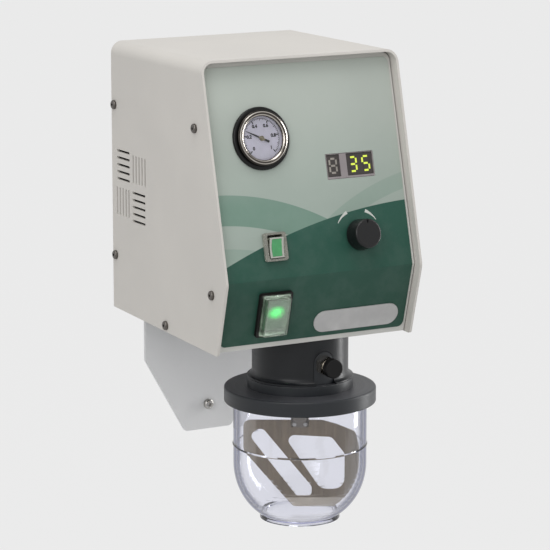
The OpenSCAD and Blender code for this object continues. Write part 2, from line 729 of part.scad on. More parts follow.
// Lid with hub, tongue and seals
module lid() {
    edge = 1.6;
    color([0.2, 0.22, 0.25]) at_neck() difference() {
        union() {
            rotate_extrude($fn = 96) polygon(rounded([[bush_r, hub_top, 0], [hub_r, hub_top, 1],
                [hub_r, boss_top, 0], [foot_r, boss_top, 0.8], [foot_r, rim_top_z, 0],
                [lid_d / 2, rim_top_z, edge], [lid_d / 2, rim_low_z, edge / 2],
                [bowl_r + seal_gap, rim_low_z, 0], [bowl_r + seal_gap, seal_top, 0],
                [plug_r, seal_top, 0], [plug_r, plug_low, 0], [bush_r, plug_low, 0]], 4));
            intersection() {
                translate([0, 0, boss_top - 1]) ring(neck_r, hub_r - 3, 40);
                along(-neck_r - 2, 0) tongue_shape(tongue_half, boss_top - 5);
            }
        }
        translate([0, 0, boss_top + 3.2]) ring(hub_r + 0.1, hub_r - 2.4, 3);
        rotate([90, 0, 0]) translate([0, valve_z, neck_r - 14]) cylinder(r = 4 + run_gap, h = 20);
        translate([0, hub_r - 8, plug_low - 1]) cylinder(r = 2, h = 60);
    }
}
module lid_o_ring() {
    color([0.1, 0.1, 0.1]) at_neck() rotate_extrude($fn = 96)
        translate([hub_r - 1.15, boss_top + 4.7]) circle(r = 1.2, $fn = 24);
}
module lid_seal() {
    color("whitesmoke") at_neck() translate([0, 0, bowl_top + 0.05])
        ring(bowl_r + seal_gap - 0.1, plug_r + 0.1, seal_top - bowl_top - 0.1);
}
module shaft_bush() {
    color("tan") at_neck() translate([0, 0, plug_low])
        ring(bush_r - 0.02, shaft_d / 2 + run_gap, hub_top - plug_low - seal_h - 0.5);
}
module shaft_seal() {
    color([0.1, 0.1, 0.1]) at_neck() translate([0, 0, hub_top - seal_h])
        ring(bush_r - 0.02, shaft_d / 2 + run_gap, seal_h);
}

// Paddle and its shaft
module on_paddle() { at_neck() rotate(paddle_turn) children(); }
module paddle_shaft() {
    color("silver") on_paddle() difference() {
        union() {
            translate([0, 0, shaft_low]) cylinder(d = shaft_d, h = hex_low - shaft_low);
            translate([0, 0, hex_low - 0.1]) hexagon(hex_flat, hex_top - hex_low + 0.1);
            intersection() {
                translate([0, 0, shaft_low]) cylinder(r = clamp_r, h = clamp_h);
                block(-clamp_r, clamp_r, -clamp_flat, clamp_flat, shaft_low - 1, shaft_low + clamp_h + 1);
            }
        }
        block(-clamp_r - 1, clamp_r + 1, -paddle_t / 2 - run_gap, paddle_t / 2 + run_gap,
            shaft_low - 1, paddle_top + 0.05);
        for (x = [-clamp_screw_x, clamp_screw_x]) translate([x, 10, paddle_top - 2.3]) rotate([90, 0, 0])
            cylinder(d = 2 + 2 * run_gap, h = 20);
    }
}
module paddle_plan() {
    difference() {
        polygon(rounded(paddle_line, 8));
        polygon(rounded(paddle_slot_a, 6));
        polygon(rounded(paddle_slot_b, 6));
    }
}
// The flap beyond a bend line that runs through p along direction a, folded by turn
module folded(p, a, turn) {
    grow = paddle_t / 2 * tan(abs(turn) / 2) * 0.9;
    translate(p) rotate(a) rotate([turn, 0, 0])
        linear_extrude(paddle_t, center = true) intersection() {
            rotate(-a) translate(-p) paddle_plan();
            translate([-100, -200]) square([200, 200 + grow]);
        }
}
module paddle() {
    grow = paddle_t / 2 * tan(flap_angle / 2) * 0.9;
    color([0.5, 0.48, 0.44]) on_paddle() difference() {
        translate([0, 0, paddle_top]) rotate([90, 0, 0]) scale([1, -1, 1]) union() {
            linear_extrude(paddle_t, center = true) intersection() {
                paddle_plan();
                translate([bend_left - grow, -1]) square([200, bend_low + 1 + grow]);
            }
            folded([0, bend_low], 180, -flap_angle);
            folded([bend_left, 0], -90, flap_angle);
        }
        for (x = [-clamp_screw_x, clamp_screw_x]) translate([x, 10, paddle_top - 2.3]) rotate([90, 0, 0])
            cylinder(d = 2 + 2 * run_gap, h = 20);
    }
}
module paddle_screws() {
    color("silver") on_paddle() for (x = [-clamp_screw_x, clamp_screw_x])
        translate([x, -clamp_flat, paddle_top - 2.3]) rotate([90, 0, 0])
            screw([3.4, 1.2, 2], 2 * clamp_flat - 0.4);
}

// Release valve in the tongue of the lid
module on_valve() { at_neck() translate([0, 0, valve_z]) rotate([90, 0, 0]) children(); }
module valve_body() {
    color("silver") on_valve() difference() {
        union() {
            translate([0, 0, neck_r - 8]) cylinder(r = 4, h = 9);
            translate([0, 0, neck_r]) hexagon_up(nut_flat, nut_l);
            translate([0, 0, neck_r + nut_l - 1]) cylinder(r = 5.6, h = collar_l + 1);
        }
        translate([0, 0, neck_r - 9]) cylinder(r = 1.5 + run_gap, h = 30);
        translate([0, 0, neck_r + 3]) cylinder(r = 4, h = 20);
    }
}
module valve_spring() {
    color("silver") on_valve() translate([0, 0, neck_r + 3.1])
        ring(3.6, 2.6, button_start + 4.2 - neck_r - 3.2);
}
module valve_button() {
    color([0.1, 0.1, 0.1]) on_valve() difference() {
        union() {
            translate([0, 0, button_start]) rotate_extrude() polygon(rounded([[0, 0, 0],
                [valve_d / 2, 0, 0.5], [valve_d / 2, button_l, 1.2], [0, button_l, 0]]));
            translate([0, 0, neck_r - 4]) cylinder(r = 1.5, h = button_start - neck_r + 8);
        }
        translate([0, 0, button_start - 1]) ring(6.1, 1.5, 5.2);
    }
}

// Bowl: straight wall, round bottom, foot ring and a fill line
function bowl_arc(thick, a0, a1, steps) = [for (i = [0:steps])
    let (a = mix(a0, a1, i / steps))
    [bowl_nose + (bowl_swell - thick) * cos(a), bowl_round_z - (bowl_curve - thick) * sin(a)]];
module bowl() {
    line_z = bowl_top - fill_line;
    color([0.8, 0.84, 0.9, 0.4]) at_neck() rotate_extrude($fn = 96) polygon(concat(
        [[bowl_r - bowl_wall, bowl_top], [bowl_r, bowl_top], [bowl_r, line_z + 0.8],
            [bowl_r + 0.6, line_z], [bowl_r, line_z - 0.8]],
        bowl_arc(0, 0, bowl_end, 14),
        [[bowl_foot_d / 2, bowl_foot_z - bowl_foot_h], [bowl_foot_d / 2 - 4, bowl_foot_z - bowl_foot_h],
            [bowl_foot_d / 2 - 5, floor_z - bowl_floor], [0, floor_z - bowl_floor], [0, floor_z]],
        bowl_arc(bowl_wall, bowl_in_end, 0, 14)));
}

// Vacuum gauge
module on_gauge() { at_upper(gauge_x, gauge_v) children(); }
module gauge_case() {
    r = gauge_case_d / 2;
    color([0.1, 0.1, 0.1]) on_gauge() difference() {
        union() {
            translate([0, 0, face + rest_gap]) rotate_extrude() polygon(rounded([[0, 0, 0],
                [gauge_flange_d / 2, 0, 0.3], [gauge_flange_d / 2, flange_h, 1.4], [0, flange_h, 0]]));
            translate([0, 0, -gauge_depth]) cylinder(r = r, h = gauge_depth + 1);
            translate([0, 0, -gauge_depth - 14]) cylinder(r = 5, h = 15);
        }
        translate([0, 0, dial_z]) cylinder(r = r - case_wall, h = 20);
        translate([0, 0, -gauge_depth + case_wall]) cylinder(r = r - 3, h = gauge_depth + 20);
    }
}
module gauge_clamp() {
    r = gauge_case_d / 2;
    color("silver") on_gauge() difference() {
        union() {
            block(-r - 6, r + 6, -6, 6, -gauge_depth - 3.5, -gauge_depth - 1.5);
            for (s = [-1, 1]) translate([s * (r + 5), 0, 0]) {
                block(-1, 1, -6, 6, -gauge_depth - 2, -panel_t);
            }
            translate([0, 0, -gauge_depth - 6]) hexagon(13, 3.5);
        }
        translate([0, 0, -gauge_depth - 10]) cylinder(r = 5 + thread_gap, h = 12);
    }
}
module gauge_movement() {
    color("goldenrod") on_gauge() difference() {
        union() {
            translate([0, 0, -gauge_depth + case_wall]) round_block(16, 24, 2, 0, gauge_depth - 6);
            translate([0, 0, -5]) cylinder(r = 3, h = dial_z + 5);
        }
        translate([0, 0, -6]) cylinder(r = 0.8 + run_gap, h = 20);
    }
}
module gauge_dial() {
    color("white") on_gauge() translate([0, 0, dial_z])
        ring(gauge_case_d / 2 - case_wall - 0.1, 1.4, dial_t);
}
module gauge_bezel() {
    r = gauge_bezel_d / 2;
    color("silver") on_gauge() translate([0, 0, bezel_low]) rotate_extrude($fn = 96)
        polygon(rounded([[r - lip_w, 0, 0], [r, 0, 0.4], [r, bezel_h - 1.2, 1], [r - 2.4, bezel_h, 1],
            [gauge_dial_d / 2, bezel_h - 1.6, 0.3], [gauge_dial_d / 2, lens_t + 0.1, 0],
            [r - lip_w, lens_t + 0.1, 0]], 4));
}
module gauge_lens() {
    color([0.9, 0.95, 1, 0.3]) on_gauge() translate([0, 0, bezel_low])
        cylinder(r = gauge_bezel_d / 2 - lip_w - 0.15, h = lens_t);
}
module gauge_needle() {
    color([0.1, 0.1, 0.1]) on_gauge() rotate(needle_angle) {
        translate([0, 0, -5.5]) cylinder(r = 0.8, h = 8.1);
        translate([0, 0, 1.95]) cylinder(r = 2, h = 0.75);
        translate([0, 0, 2.1]) linear_extrude(0.4)
            polygon([[-7, -0.9], [-7, 0.9], [0, 0.7], [14.6, 0.2], [14.6, -0.2], [0, -0.7]]);
    }
}

// Display and its circuit board
module display_frame() {
    w = display_w - 2 * screw_gap;
    h = display_h - 2 * screw_gap;
    color([0.6, 0.6, 0.6]) difference() {
        at_upper(display_x + display_w / 2, display_v + display_h / 2) {
            round_block(w, h, 0.4, -panel_t - 1, face - 0.1);
            round_block(w + 3, h + 3, 0.4, -panel_t - 1.4, -panel_t - 0.05);
        }
        at_upper(digit_x[0] + single_w / 2, digit_v + digit_h / 2)
            round_block(single_w + 2 * seat_gap, digit_h + 2 * seat_gap, 0.2, -5, 5);
        at_upper(digit_x[1] + pair_w / 2, digit_v + digit_h / 2)
            round_block(pair_w + 2 * seat_gap, digit_h + 2 * seat_gap, 0.2, -5, 5);
    }
}
module digits(w, n) {
    d = w / n;
    color([0.25, 0.23, 0.22]) difference() {
        round_block(w, digit_h, 0.2, board_top + rest_gap, -0.4);
        for (i = [0:n - 1]) translate([(i - (n - 1) / 2) * d, 0, 0]) segments();
    }
}
// Seven shallow bars of one figure
module segments() {
    bar = 1.6;
    half = 3;
    reach = half - bar / 2 - 0.3;
    for (y = [-5.6, 0, 5.6])
        block(-reach, reach, y - bar / 2, y + bar / 2, -0.6, 1);
    for (x = [-half, half]) for (y = [-2.8, 2.8])
        block(x - bar / 2, x + bar / 2, y - 2, y + 2, -0.6, 1);
}
module digit_single() {
    at_upper(digit_x[0] + single_w / 2, digit_v + digit_h / 2) digits(single_w, 1);
}
module digit_pair() {
    at_upper(digit_x[1] + pair_w / 2, digit_v + digit_h / 2) digits(pair_w, 2);
}
module on_board() {
    at_upper((board_x[0] + board_x[1]) / 2, (board_v[0] + board_v[1]) / 2) children();
}
module board_corners() {
    for (x = [-1, 1]) for (y = [-1, 1])
        translate([x * ((board_x[1] - board_x[0]) / 2 - 4), y * ((board_v[1] - board_v[0]) / 2 - 4), 0])
            children();
}
module control_board() {
    w = board_x[1] - board_x[0];
    h = board_v[1] - board_v[0];
    color("darkgreen") difference() {
        on_board() round_block(w, h, 1, board_top - board_t, board_top);
        on_board() board_corners() translate([0, 0, board_top - 5]) cylinder(r = 1.6, h = 10);
    }
    color([0.1, 0.1, 0.1]) on_board() {
        translate([-6, 4, 0]) round_block(16, 10, 0.3, board_top - board_t - 2.5, board_top - board_t);
        translate([12, -10, 0]) round_block(9, 20, 0.3, board_top - board_t - 8, board_top - board_t);
        translate([-14, -14, board_top - board_t - 11]) cylinder(r = 5, h = 11);
    }
}
module board_standoffs() {
    color("silver") on_board() board_corners() {
        translate([0, 0, board_top]) cylinder(r = 3, h = -board_top - panel_t);
        translate([0, 0, board_top - board_t - 2.4]) cylinder(r = 1.5, h = 6);
        translate([0, 0, board_top - board_t - 2.4]) hexagon(5, 2.4);
    }
}

// Push-and-turn encoder with its knob
module on_knob() { at_upper(knob_x, knob_v) children(); }
module encoder_body() {
    color([0.25, 0.25, 0.28]) on_knob() difference() {
        union() {
            round_block(encoder_w, encoder_w, 0.6, board_top + rest_gap, -panel_t - rest_gap);
            translate([0, 0, -panel_t - 0.5]) cylinder(d = bushing_d, h = bushing_l + panel_t + 0.5);
        }
        translate([0, 0, -3]) cylinder(d = encoder_shaft_d + 2 * run_gap, h = 20);
        translate([0, 0, board_top + 0.8]) cylinder(r = 4.2, h = -board_top - 3.8);
    }
}
module encoder_nut() {
    color("silver") on_knob() difference() {
        translate([0, 0, face + rest_gap]) hexagon(10, 1.8);
        translate([0, 0, -1]) cylinder(d = bushing_d + 2 * thread_gap, h = 10);
    }
}
module encoder_plunger() {
    color("tan") on_knob() translate([0, 0, board_top + 0.9 + knob_travel]) cylinder(r = 4, h = 1.6);
}
module encoder_shaft() {
    low = board_top + 0.9 + knob_travel + 1.65;
    color("silver") on_knob() translate([0, 0, low]) {
        cylinder(d = encoder_shaft_d, h = knob_low + knob_h - 3 - low);
        cylinder(r = 4, h = 0.6);
    }
}
module setting_knob() {
    r = knob_d / 2;
    color([0.12, 0.12, 0.13]) on_knob() translate([0, 0, knob_low]) difference() {
        rotate_extrude($fn = 96) polygon(rounded([[0, 0, 0], [r, 0, 0.6], [r - 0.9, knob_h, 1.8],
            [0, knob_h, 0]], 6));
        translate([0, 0, -1]) cylinder(r = 6.6, h = 4.2);
        translate([0, 0, -1]) cylinder(d = encoder_shaft_d + 0.04, h = knob_h - 2);
        translate([0, 0, knob_h - 1.4]) linear_extrude(3)
            polygon([[-1.8, r + 1], [1.8, r + 1], [0.4, r - 4.2], [-0.4, r - 4.2]]);
        for (a = [30:60:330]) rotate(a) translate([r + 8.6, 0, 3]) cylinder(r = 9, h = 30);
    }
}

// Rocker switches. The rocker turns about an axis along X through its own origin.
module rocker_form(size, high, low) {
    l = size[1] / 2;
    translate([-size[0] / 2, 0, 0]) rotate([90, 0, 90]) linear_extrude(size[0])
        polygon(rounded([[-l, high, 0.8], [0, high - 1.2, 20], [l, high, 0.8],
            [l - 1.5, low, 1], [-l + 1.5, low, 1]], 4));
}
module vacuum_switch() {
    color([0.15, 0.15, 0.15]) at_upper(vac_x, vac_v) difference() {
        union() {
            round_block(vac_w - 3, vac_h - 2.2, 0.8, -switch_depth, 0.6);
            round_block(vac_w - 1, vac_h - 0.6, 1, face + rest_gap, face + 0.7);
            for (y = [-5, 0, 5]) block(-2.4, 2.4, y - 0.4, y + 0.4, -switch_depth - 7, -switch_depth + 1);
        }
        round_block(vac_pocket[0], vac_pocket[1], 0.5, -8, 5);
        translate([-vac_w, 0, -1]) rotate([0, 90, 0]) cylinder(r = 1.2 + run_gap, h = 2 * vac_w);
    }
}
module vacuum_switch_frame() {
    color([0.8, 0.84, 0.82, 0.6]) at_upper(vac_x, vac_v) difference() {
        round_block(vac_w, vac_h, 2.2, face + 0.75, face + 3);
        round_block(vac_pocket[0] + 0.4, vac_pocket[1] + 0.4, 1.4, 0, 8);
    }
}
module vacuum_rocker() {
    color([0.75, 0.78, 0.75]) at_upper(vac_x, vac_v) translate([0, 0, -1]) rotate([rocker_tilt, 0, 0])
        difference() {
            union() {
                rocker_form(vac_rocker, 6.4, -4);
                translate([-vac_pocket[0] / 2 - 1, 0, 0]) rotate([0, 90, 0])
                    cylinder(r = 1.2, h = vac_pocket[0] + 2);
            }
            round_block(vac_lens[0] + 0.2, vac_lens[1] + 0.2, 0.6, 3, 10);
        }
}
module vacuum_lens() {
    color([0.3, 0.7, 0.45]) at_upper(vac_x, vac_v) translate([0, 0, -1]) rotate([rocker_tilt, 0, 0])
        round_block(vac_lens[0], vac_lens[1], 0.5, 3.05, 6);
}
module main_switch() {
    color([0.1, 0.1, 0.1]) at_lower(main_x, main_v) difference() {
        union() {
            round_block(main_w - 4, main_h - 4, 0.8, -switch_depth, 1);
            round_block(main_w, main_h, 1.6, face + rest_gap, face + 3);
            for (x = [-7, 7]) for (y = [-8, 0, 8])
                block(x - 3.2, x + 3.2, y - 0.4, y + 0.4, -switch_depth - 8, -switch_depth + 1);
        }
        round_block(main_pocket[0], main_pocket[1], 0.5, -10, 8);
        translate([-main_w, 0, -1.5]) rotate([0, 90, 0]) cylinder(r = 1.5 + run_gap, h = 2 * main_w);
    }
}
module main_rocker() {
    color([0.2, 0.6, 0.35]) at_lower(main_x, main_v) translate([0, 0, -1.5]) rotate([rocker_tilt, 0, 0]) {
        rocker_form(main_rocker_size, 6, -5);
        translate([-main_pocket[0] / 2 - 1, 0, 0]) rotate([0, 90, 0])
            cylinder(r = 1.5, h = main_pocket[0] + 2);
    }
}
module main_switch_cover() {
    w = main_w - 7.6;
    h = main_h - 4.9;
    top = face + 8.4;
    color([0.8, 0.9, 0.85, 0.4]) at_lower(main_x, main_v) difference() {
        union() {
            round_block(w, h, 1.4, face + 3.05, top);
            round_block(w + 3, h + 2.4, 1.4, face + 3.05, face + 3.9);
        }
        round_block(w - 2.4, h - 2.4, 0.8, 2, top - 1.1);
    }
}
module name_plate() {
    color("whitesmoke") at_lower(badge_x, badge_v)
        round_block(badge_w, badge_h, badge_h / 2 - 0.01, face + rest_gap, face + 1);
}

// Vacuum pump, release solenoid and electrics
module pump_motor() {
    color([0.35, 0.35, 0.38]) housing() {
        translate([pump_x, pump_y + 28, base_top + 10 + pump_r]) rotate([90, 0, 0])
            cylinder(r = pump_r, h = 57.8);
        for (y = [pump_y - 16, pump_y + 12]) difference() {
            block(pump_x - 22, pump_x + 22, y, y + 8, base_top + 6, base_top + 10 + pump_r);
            translate([pump_x, y + 20, base_top + 10 + pump_r]) rotate([90, 0, 0])
                cylinder(r = pump_r - 0.6, h = 40);
        }
        for (x = [-1, 1]) for (y = [pump_y - 12, pump_y + 16])
            translate([pump_x + 17 * x, y, base_top]) cylinder(r = 4.5, h = 6.2);
    }
}
module pump_head() {
    color([0.2, 0.2, 0.22]) housing() translate([pump_x, head_front, base_top + 4]) {
        block(-head_size[0] / 2, head_size[0] / 2, -head_size[1], 0, 0, head_size[2]);
        for (x = [-12, 12]) translate([x, -head_size[1] / 2, head_size[2] - 1]) cylinder(r = 3.2, h = 11);
        translate([0, -head_size[1] / 2, head_size[2] - 1]) cylinder(r = 4, h = 4);
        for (x = [-17, 17]) translate([x, -head_size[1] / 2, -4]) cylinder(r = 4.5, h = 5);
    }
}
module release_solenoid() {
    color([0.3, 0.3, 0.5]) housing() translate([solenoid_x, solenoid_y, base_top]) {
        block(-13, 13, -10, 10, 0, 26);
        translate([0, 0, 25]) cylinder(r = 6, h = 9);
        translate([0, 0, 33]) cylinder(r = 3.2, h = 8);
    }
}
module power_board() {
    z_mid = (power_z[0] + power_z[1]) / 2;
    rear = back_front - power_gap;
    front = rear - board_t;
    housing() {
        color("darkgreen") block(power_x[0], power_x[1], front, rear, power_z[0], power_z[1]);
        color("silver") for (x = [power_x[0] + 5, power_x[1] - 5])
            for (z = [power_z[0] + 5, power_z[1] - 5])
                translate([x, back_front, z]) rotate([90, 0, 0]) cylinder(r = 3, h = power_gap);
        color([0.8, 0.7, 0.2])
            block(power_x[1] - 46, power_x[1] - 8, front - 30, front, z_mid - 42, z_mid - 8);
        color([0.2, 0.2, 0.25]) for (z = [z_mid + 8, z_mid + 28])
            translate([power_x[1] - 18, front, z]) rotate([90, 0, 0]) cylinder(r = 8, h = 25);
        color("silver") block(power_x[1] - 44, power_x[1] - 38, front - 22, front, z_mid - 2, z_mid + 40);
    }
}
module power_inlet() {
    color([0.1, 0.1, 0.1]) housing() translate([inlet_x, inlet_y, 0]) difference() {
        union() {
            round_block(27.4, 19.9, 1.8, base_h - 1, base_h + 22);
            round_block(49, 24, 3, base_h - 2.5, base_h);
            for (x = [-8, 0, 8]) block(x - 2.4, x + 2.4, -0.4, 0.4, base_h + 21, base_h + 29);
        }
        round_block(24.4, 16.9, 2, base_h - 10, base_h + 15);
        for (x = [-1, 1]) translate([20 * x, 0, 0]) cylinder(d = small_screw[2] + 2 * screw_gap, h = 40);
    }
    color("silver") housing() translate([inlet_x, inlet_y, 0]) {
        for (x = [-7, 0, 7]) block(x - 1, x + 1, -2, 2, base_h, base_h + 18);
    }
}

// Vacuum hoses: a tube of eight sides swept along rounded points
function bez(a, b, c, d, t) =
    a * pow(1 - t, 3) + b * (3 * t * pow(1 - t, 2)) + c * (3 * t * t * (1 - t)) + d * pow(t, 3);
function ring_at(p, d, r) =
    let (u = unit(cross(d, abs(d[2]) > 0.9 ? [1, 0, 0] : [0, 0, 1])), w = cross(u, d))
    [for (k = [0:7]) p + r * (u * cos(45 * k) + w * sin(45 * k))];
module swept(pts, first, last, r) {
    n = len(pts);
    inner = [for (i = [1:n - 2]) unit(pts[i + 1] - pts[i - 1])];
    dirs = concat([unit(first)], inner, [unit(last)]);
    rings = [for (i = [0:n - 1]) each ring_at(pts[i], dirs[i], r)];
    sides = [for (i = [0:n - 2]) for (k = [0:7])
        [i * 8 + k, i * 8 + (k + 1) % 8, (i + 1) * 8 + (k + 1) % 8, (i + 1) * 8 + k]];
    polyhedron(rings, concat([[for (k = [7:-1:0]) k]], sides, [[for (k = [0:7]) (n - 1) * 8 + k]]));
}
module hose(a, b, c, d) { swept([for (i = [0:10]) bez(a, b, c, d, i / 10)], b - a, d - c, hose_r); }
module vacuum_hoses() {
    head_top = base_top + 4 + head_size[2] + 10 + skin_gap;
    head_y = head_front - head_size[1] / 2;
    g = up_start + up_dir * gauge_v - up_out * (gauge_depth + 14 + skin_gap);
    h = g - up_out * 30;
    port = [neck_x + port_x, -neck_y];
    color([0.85, 0.85, 0.8]) housing() {
        hose([pump_x + 12, head_y, head_top], [pump_x + 12, head_y, 130], [gauge_x, h[0], h[1]],
            [gauge_x, g[0], g[1]]);
        hose([pump_x - 12, head_y, head_top], [pump_x - 12, head_y, 100],
            [solenoid_x, solenoid_y, 90], [solenoid_x, solenoid_y, base_top + 41 + skin_gap]);
        hose([solenoid_x + 13 + skin_gap, solenoid_y, base_top + 18],
            [solenoid_x + 34, solenoid_y, base_top + 18],
            [port[0], port[1], base_top + 40], [port[0], port[1], base_h - 4.5]);
    }
}

cover();
cover_screws();
front_panel();
panel_foil();
chassis();
wall_plate();
plate_spacers();
plate_screws();
tongue_screw();
neck();
neck_screws();
gearbox();
gearbox_screws();
drive_motor();
motor_screws();
spindle();
spindle_bearing();
lid();
lid_o_ring();
lid_seal();
shaft_bush();
shaft_seal();
paddle_shaft();
paddle();
paddle_screws();
valve_body();
valve_spring();
valve_button();
bowl();
gauge_case();
gauge_clamp();
gauge_movement();
gauge_bezel();
gauge_dial();
gauge_needle();
gauge_lens();
display_frame();
digit_single();
digit_pair();
control_board();
board_standoffs();
encoder_body();
encoder_nut();
encoder_plunger();
encoder_shaft();
setting_knob();
vacuum_switch();
vacuum_switch_frame();
vacuum_rocker();
vacuum_lens();
main_switch();
main_rocker();
main_switch_cover();
name_plate();
pump_head();
pump_motor();
release_solenoid();
power_board();
power_inlet();
vacuum_hoses();
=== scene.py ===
import math
import bpy
from mathutils import Matrix, Vector


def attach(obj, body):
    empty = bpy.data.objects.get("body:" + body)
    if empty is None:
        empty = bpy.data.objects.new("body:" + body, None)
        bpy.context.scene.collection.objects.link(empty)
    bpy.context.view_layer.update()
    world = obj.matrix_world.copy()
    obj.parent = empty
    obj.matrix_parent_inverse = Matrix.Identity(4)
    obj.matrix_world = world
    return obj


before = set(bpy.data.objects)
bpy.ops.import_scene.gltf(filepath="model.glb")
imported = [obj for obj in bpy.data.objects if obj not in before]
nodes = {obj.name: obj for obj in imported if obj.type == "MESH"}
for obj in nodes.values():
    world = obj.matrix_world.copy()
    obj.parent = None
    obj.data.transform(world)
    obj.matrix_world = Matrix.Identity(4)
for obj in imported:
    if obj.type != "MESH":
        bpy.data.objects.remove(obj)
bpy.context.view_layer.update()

print("frame loaded with", len(nodes), "nodes")


def tone(r, g, b):
    # a screen colour, 0 to 255, as the linear values that shaders take
    return tuple((c / 255 / 12.92) if c <= 10 else ((c / 255 + 0.055) / 1.055) ** 2.4
                 for c in (r, g, b)) + (1.0,)


def shaded(colour, share):
    # the same colour, darker below 1 and lighter above
    return tuple(min(1.0, c * share) for c in colour[:3]) + (1.0,)


# The leaning front panel: y and z of the top of each face in metres, and its lean in degrees,
# which is below nought on the undercut lower face
panelFaces = {
    "upper": {"top": (-0.153729, 0.030458), "lean": 14.219},
    "lower": {"top": (-0.196754, -0.135465), "lean": -14.950},
}


def onFace(face, x, v):
    # a place on a face of the panel, in millimetres: x across, v down from the top of the face.
    # Returned are the turn of the face, with its third axis outwards, and the spot in metres
    lean = math.radians(panelFaces[face]["lean"])
    right = Vector((1, 0, 0))
    up = Vector((0, math.sin(lean), math.cos(lean)))
    out = Vector((0, -math.cos(lean), math.sin(lean)))
    spot = Vector((x / 1000, *panelFaces[face]["top"])) - up * v / 1000
    return Matrix((right, up, out)).transposed().to_4x4(), spot


def placed(turnAndSpot, points):
    # points in millimetres on a face, as points of the whole
    turn, spot = turnAndSpot
    return [spot + turn @ (Vector(p) / 1000) for p in points]


def around(radius, angle):
    return (radius * math.cos(math.radians(angle)), radius * math.sin(math.radians(angle)))


class Wire:
    # one output of a node, so that sums on it read as plain sums
    def __init__(self, finish, socket):
        self.finish = finish
        self.socket = socket

    def calc(self, operation, *others):
        return self.finish.node("ShaderNodeMath", {"operation": operation},
                                dict(enumerate((self, *others))))

    def __add__(self, other):
        return self.calc("ADD", other)

    def __sub__(self, other):
        return self.calc("SUBTRACT", other)

    def __rsub__(self, other):
        return self.calc("MULTIPLY", -1.0).calc("ADD", other)

    def __mul__(self, other):
        return self.calc("MULTIPLY", other)

    def __truediv__(self, other):
        return self.calc("DIVIDE", other)

    def __pow__(self, other):
        return self.calc("POWER", other)

    def __gt__(self, other):
        return self.calc("GREATER_THAN", other)

    def __abs__(self):
        return self.calc("ABSOLUTE")

    __radd__ = __add__
    __rmul__ = __mul__

    def ranged(self, kind, low, high, toLow, toHigh):
        return self.finish.node("ShaderNodeMapRange", {"interpolation_type": kind},
                                {0: self, 1: low, 2: high, 3: toLow, 4: toHigh})

    def ease(self, low, high, toLow=0.0, toHigh=1.0):
        # a soft step from toLow to toHigh as the value goes from low to high
        return self.ranged("SMOOTHSTEP", low, high, toLow, toHigh)

    def scaled(self, low, high, toLow=0.0, toHigh=1.0):
        # the same in a straight line
        return self.ranged("LINEAR", low, high, toLow, toHigh)

    def below(self, limit, soft):
        # 1 under the limit and 0 over it, softened by this much either side
        return self.ease(limit - soft, limit + soft, 1.0, 0.0)

    def above(self, limit, soft):
        return self.ease(limit - soft, limit + soft)

    def within(self, low, high, soft):
        return self.above(low, soft) * self.below(high, soft)


# Kinds of noise: detail and roughness
noiseKinds = {
    "cloud": (3, 0.6),
    "grain": (2, 0.5),
    "streak": (4, 0.65),
    "ring": (4, 0.7),
    "speck": (1, 0.4),
    "dustAndSheen": (1, 0.5),
}
# Noise does most of its change between these two values
span = (0.3, 0.7)


class Finish:
    # a procedural material, or the world, being put together
    def __init__(self, name, owner=None):
        self.owner = owner or bpy.data.materials.new(name)
        self.owner.use_nodes = True
        self.tree = self.owner.node_tree
        self.tree.nodes.clear()
        self.where = None if owner else self.node("ShaderNodeTexCoord", out="Object")

    def node(self, kind, settings=None, values=None, out=0):
        # a node of this type, wired or set up, and its output, or the node itself if out is None
        made = self.tree.nodes.new(kind)
        for key, value in (settings or {}).items():
            setattr(made, key, value)
        for key, value in (values or {}).items():
            if isinstance(value, Wire):
                self.tree.links.new(value.socket, made.inputs[key])
            else:
                made.inputs[key].default_value = value
        return made if out is None else Wire(self, made.outputs[out])

    def millimetres(self):
        # x, y and z of the surface in millimetres
        big = self.node("ShaderNodeVectorMath", {"operation": "SCALE"},
                        {0: self.where, "Scale": 1000})
        split = self.node("ShaderNodeSeparateXYZ", None, {0: big}, None)
        return [Wire(self, split.outputs[i]) for i in range(3)]

    def slope(self):
        # 1 on faces that look straight up, 0 on upright ones, -1 underneath
        normal = self.node("ShaderNodeTexCoord", out="Normal")
        return self.node("ShaderNodeSeparateXYZ", None, {0: normal}, "Z")

    def reachFrom(self, turnAndSpot):
        # distance in millimetres from an axis that stands on a face of the panel
        turn, spot = turnAndSpot
        x, y, z = self.millimetres()
        across = x - spot.x * 1000
        up = (y - spot.y * 1000) * turn[1][1] + (z - spot.z * 1000) * turn[2][1]
        return (across * across + up * up) ** 0.5

    def joined(self, x, y, z):
        return self.node("ShaderNodeCombineXYZ", None, {0: x, 1: y, 2: z})

    def noise(self, kind, perMetre, stretch=None, where=None):
        where = where or self.where
        if stretch:
            where = self.node("ShaderNodeVectorMath", {"operation": "MULTIPLY"},
                              {0: where, 1: stretch})
        detail, rough = noiseKinds[kind]
        return self.node("ShaderNodeTexNoise", None, {
            "Vector": where, "Scale": perMetre, "Detail": detail, "Roughness": rough})

    def blend(self, factor, a, b):
        return self.node("ShaderNodeMix", {"data_type": "RGBA"}, {0: factor, 6: a, 7: b}, out=2)

    def bump(self, height, depth, strength):
        # depth is the height of the relief in metres
        return self.node("ShaderNodeBump", None, {
            "Height": height, "Distance": depth, "Strength": strength})

    def close(self, values):
        shader = self.node("ShaderNodeBsdfPrincipled", None, values)
        self.end = self.node("ShaderNodeOutputMaterial", None, {"Surface": shader}, None)
        return self.owner


paint = {
    "clouds": 9, "dark": 0.965, "light": 1.02,
    "speckGrain": 1.7, "speckFrom": 0.71, "speckShare": 0.35, "speckTone": 0.72,
    "duller": (-0.04, 0.06), "level": 0.42, "peelDepth": 0.00006, "peelStrength": 0.55,
}


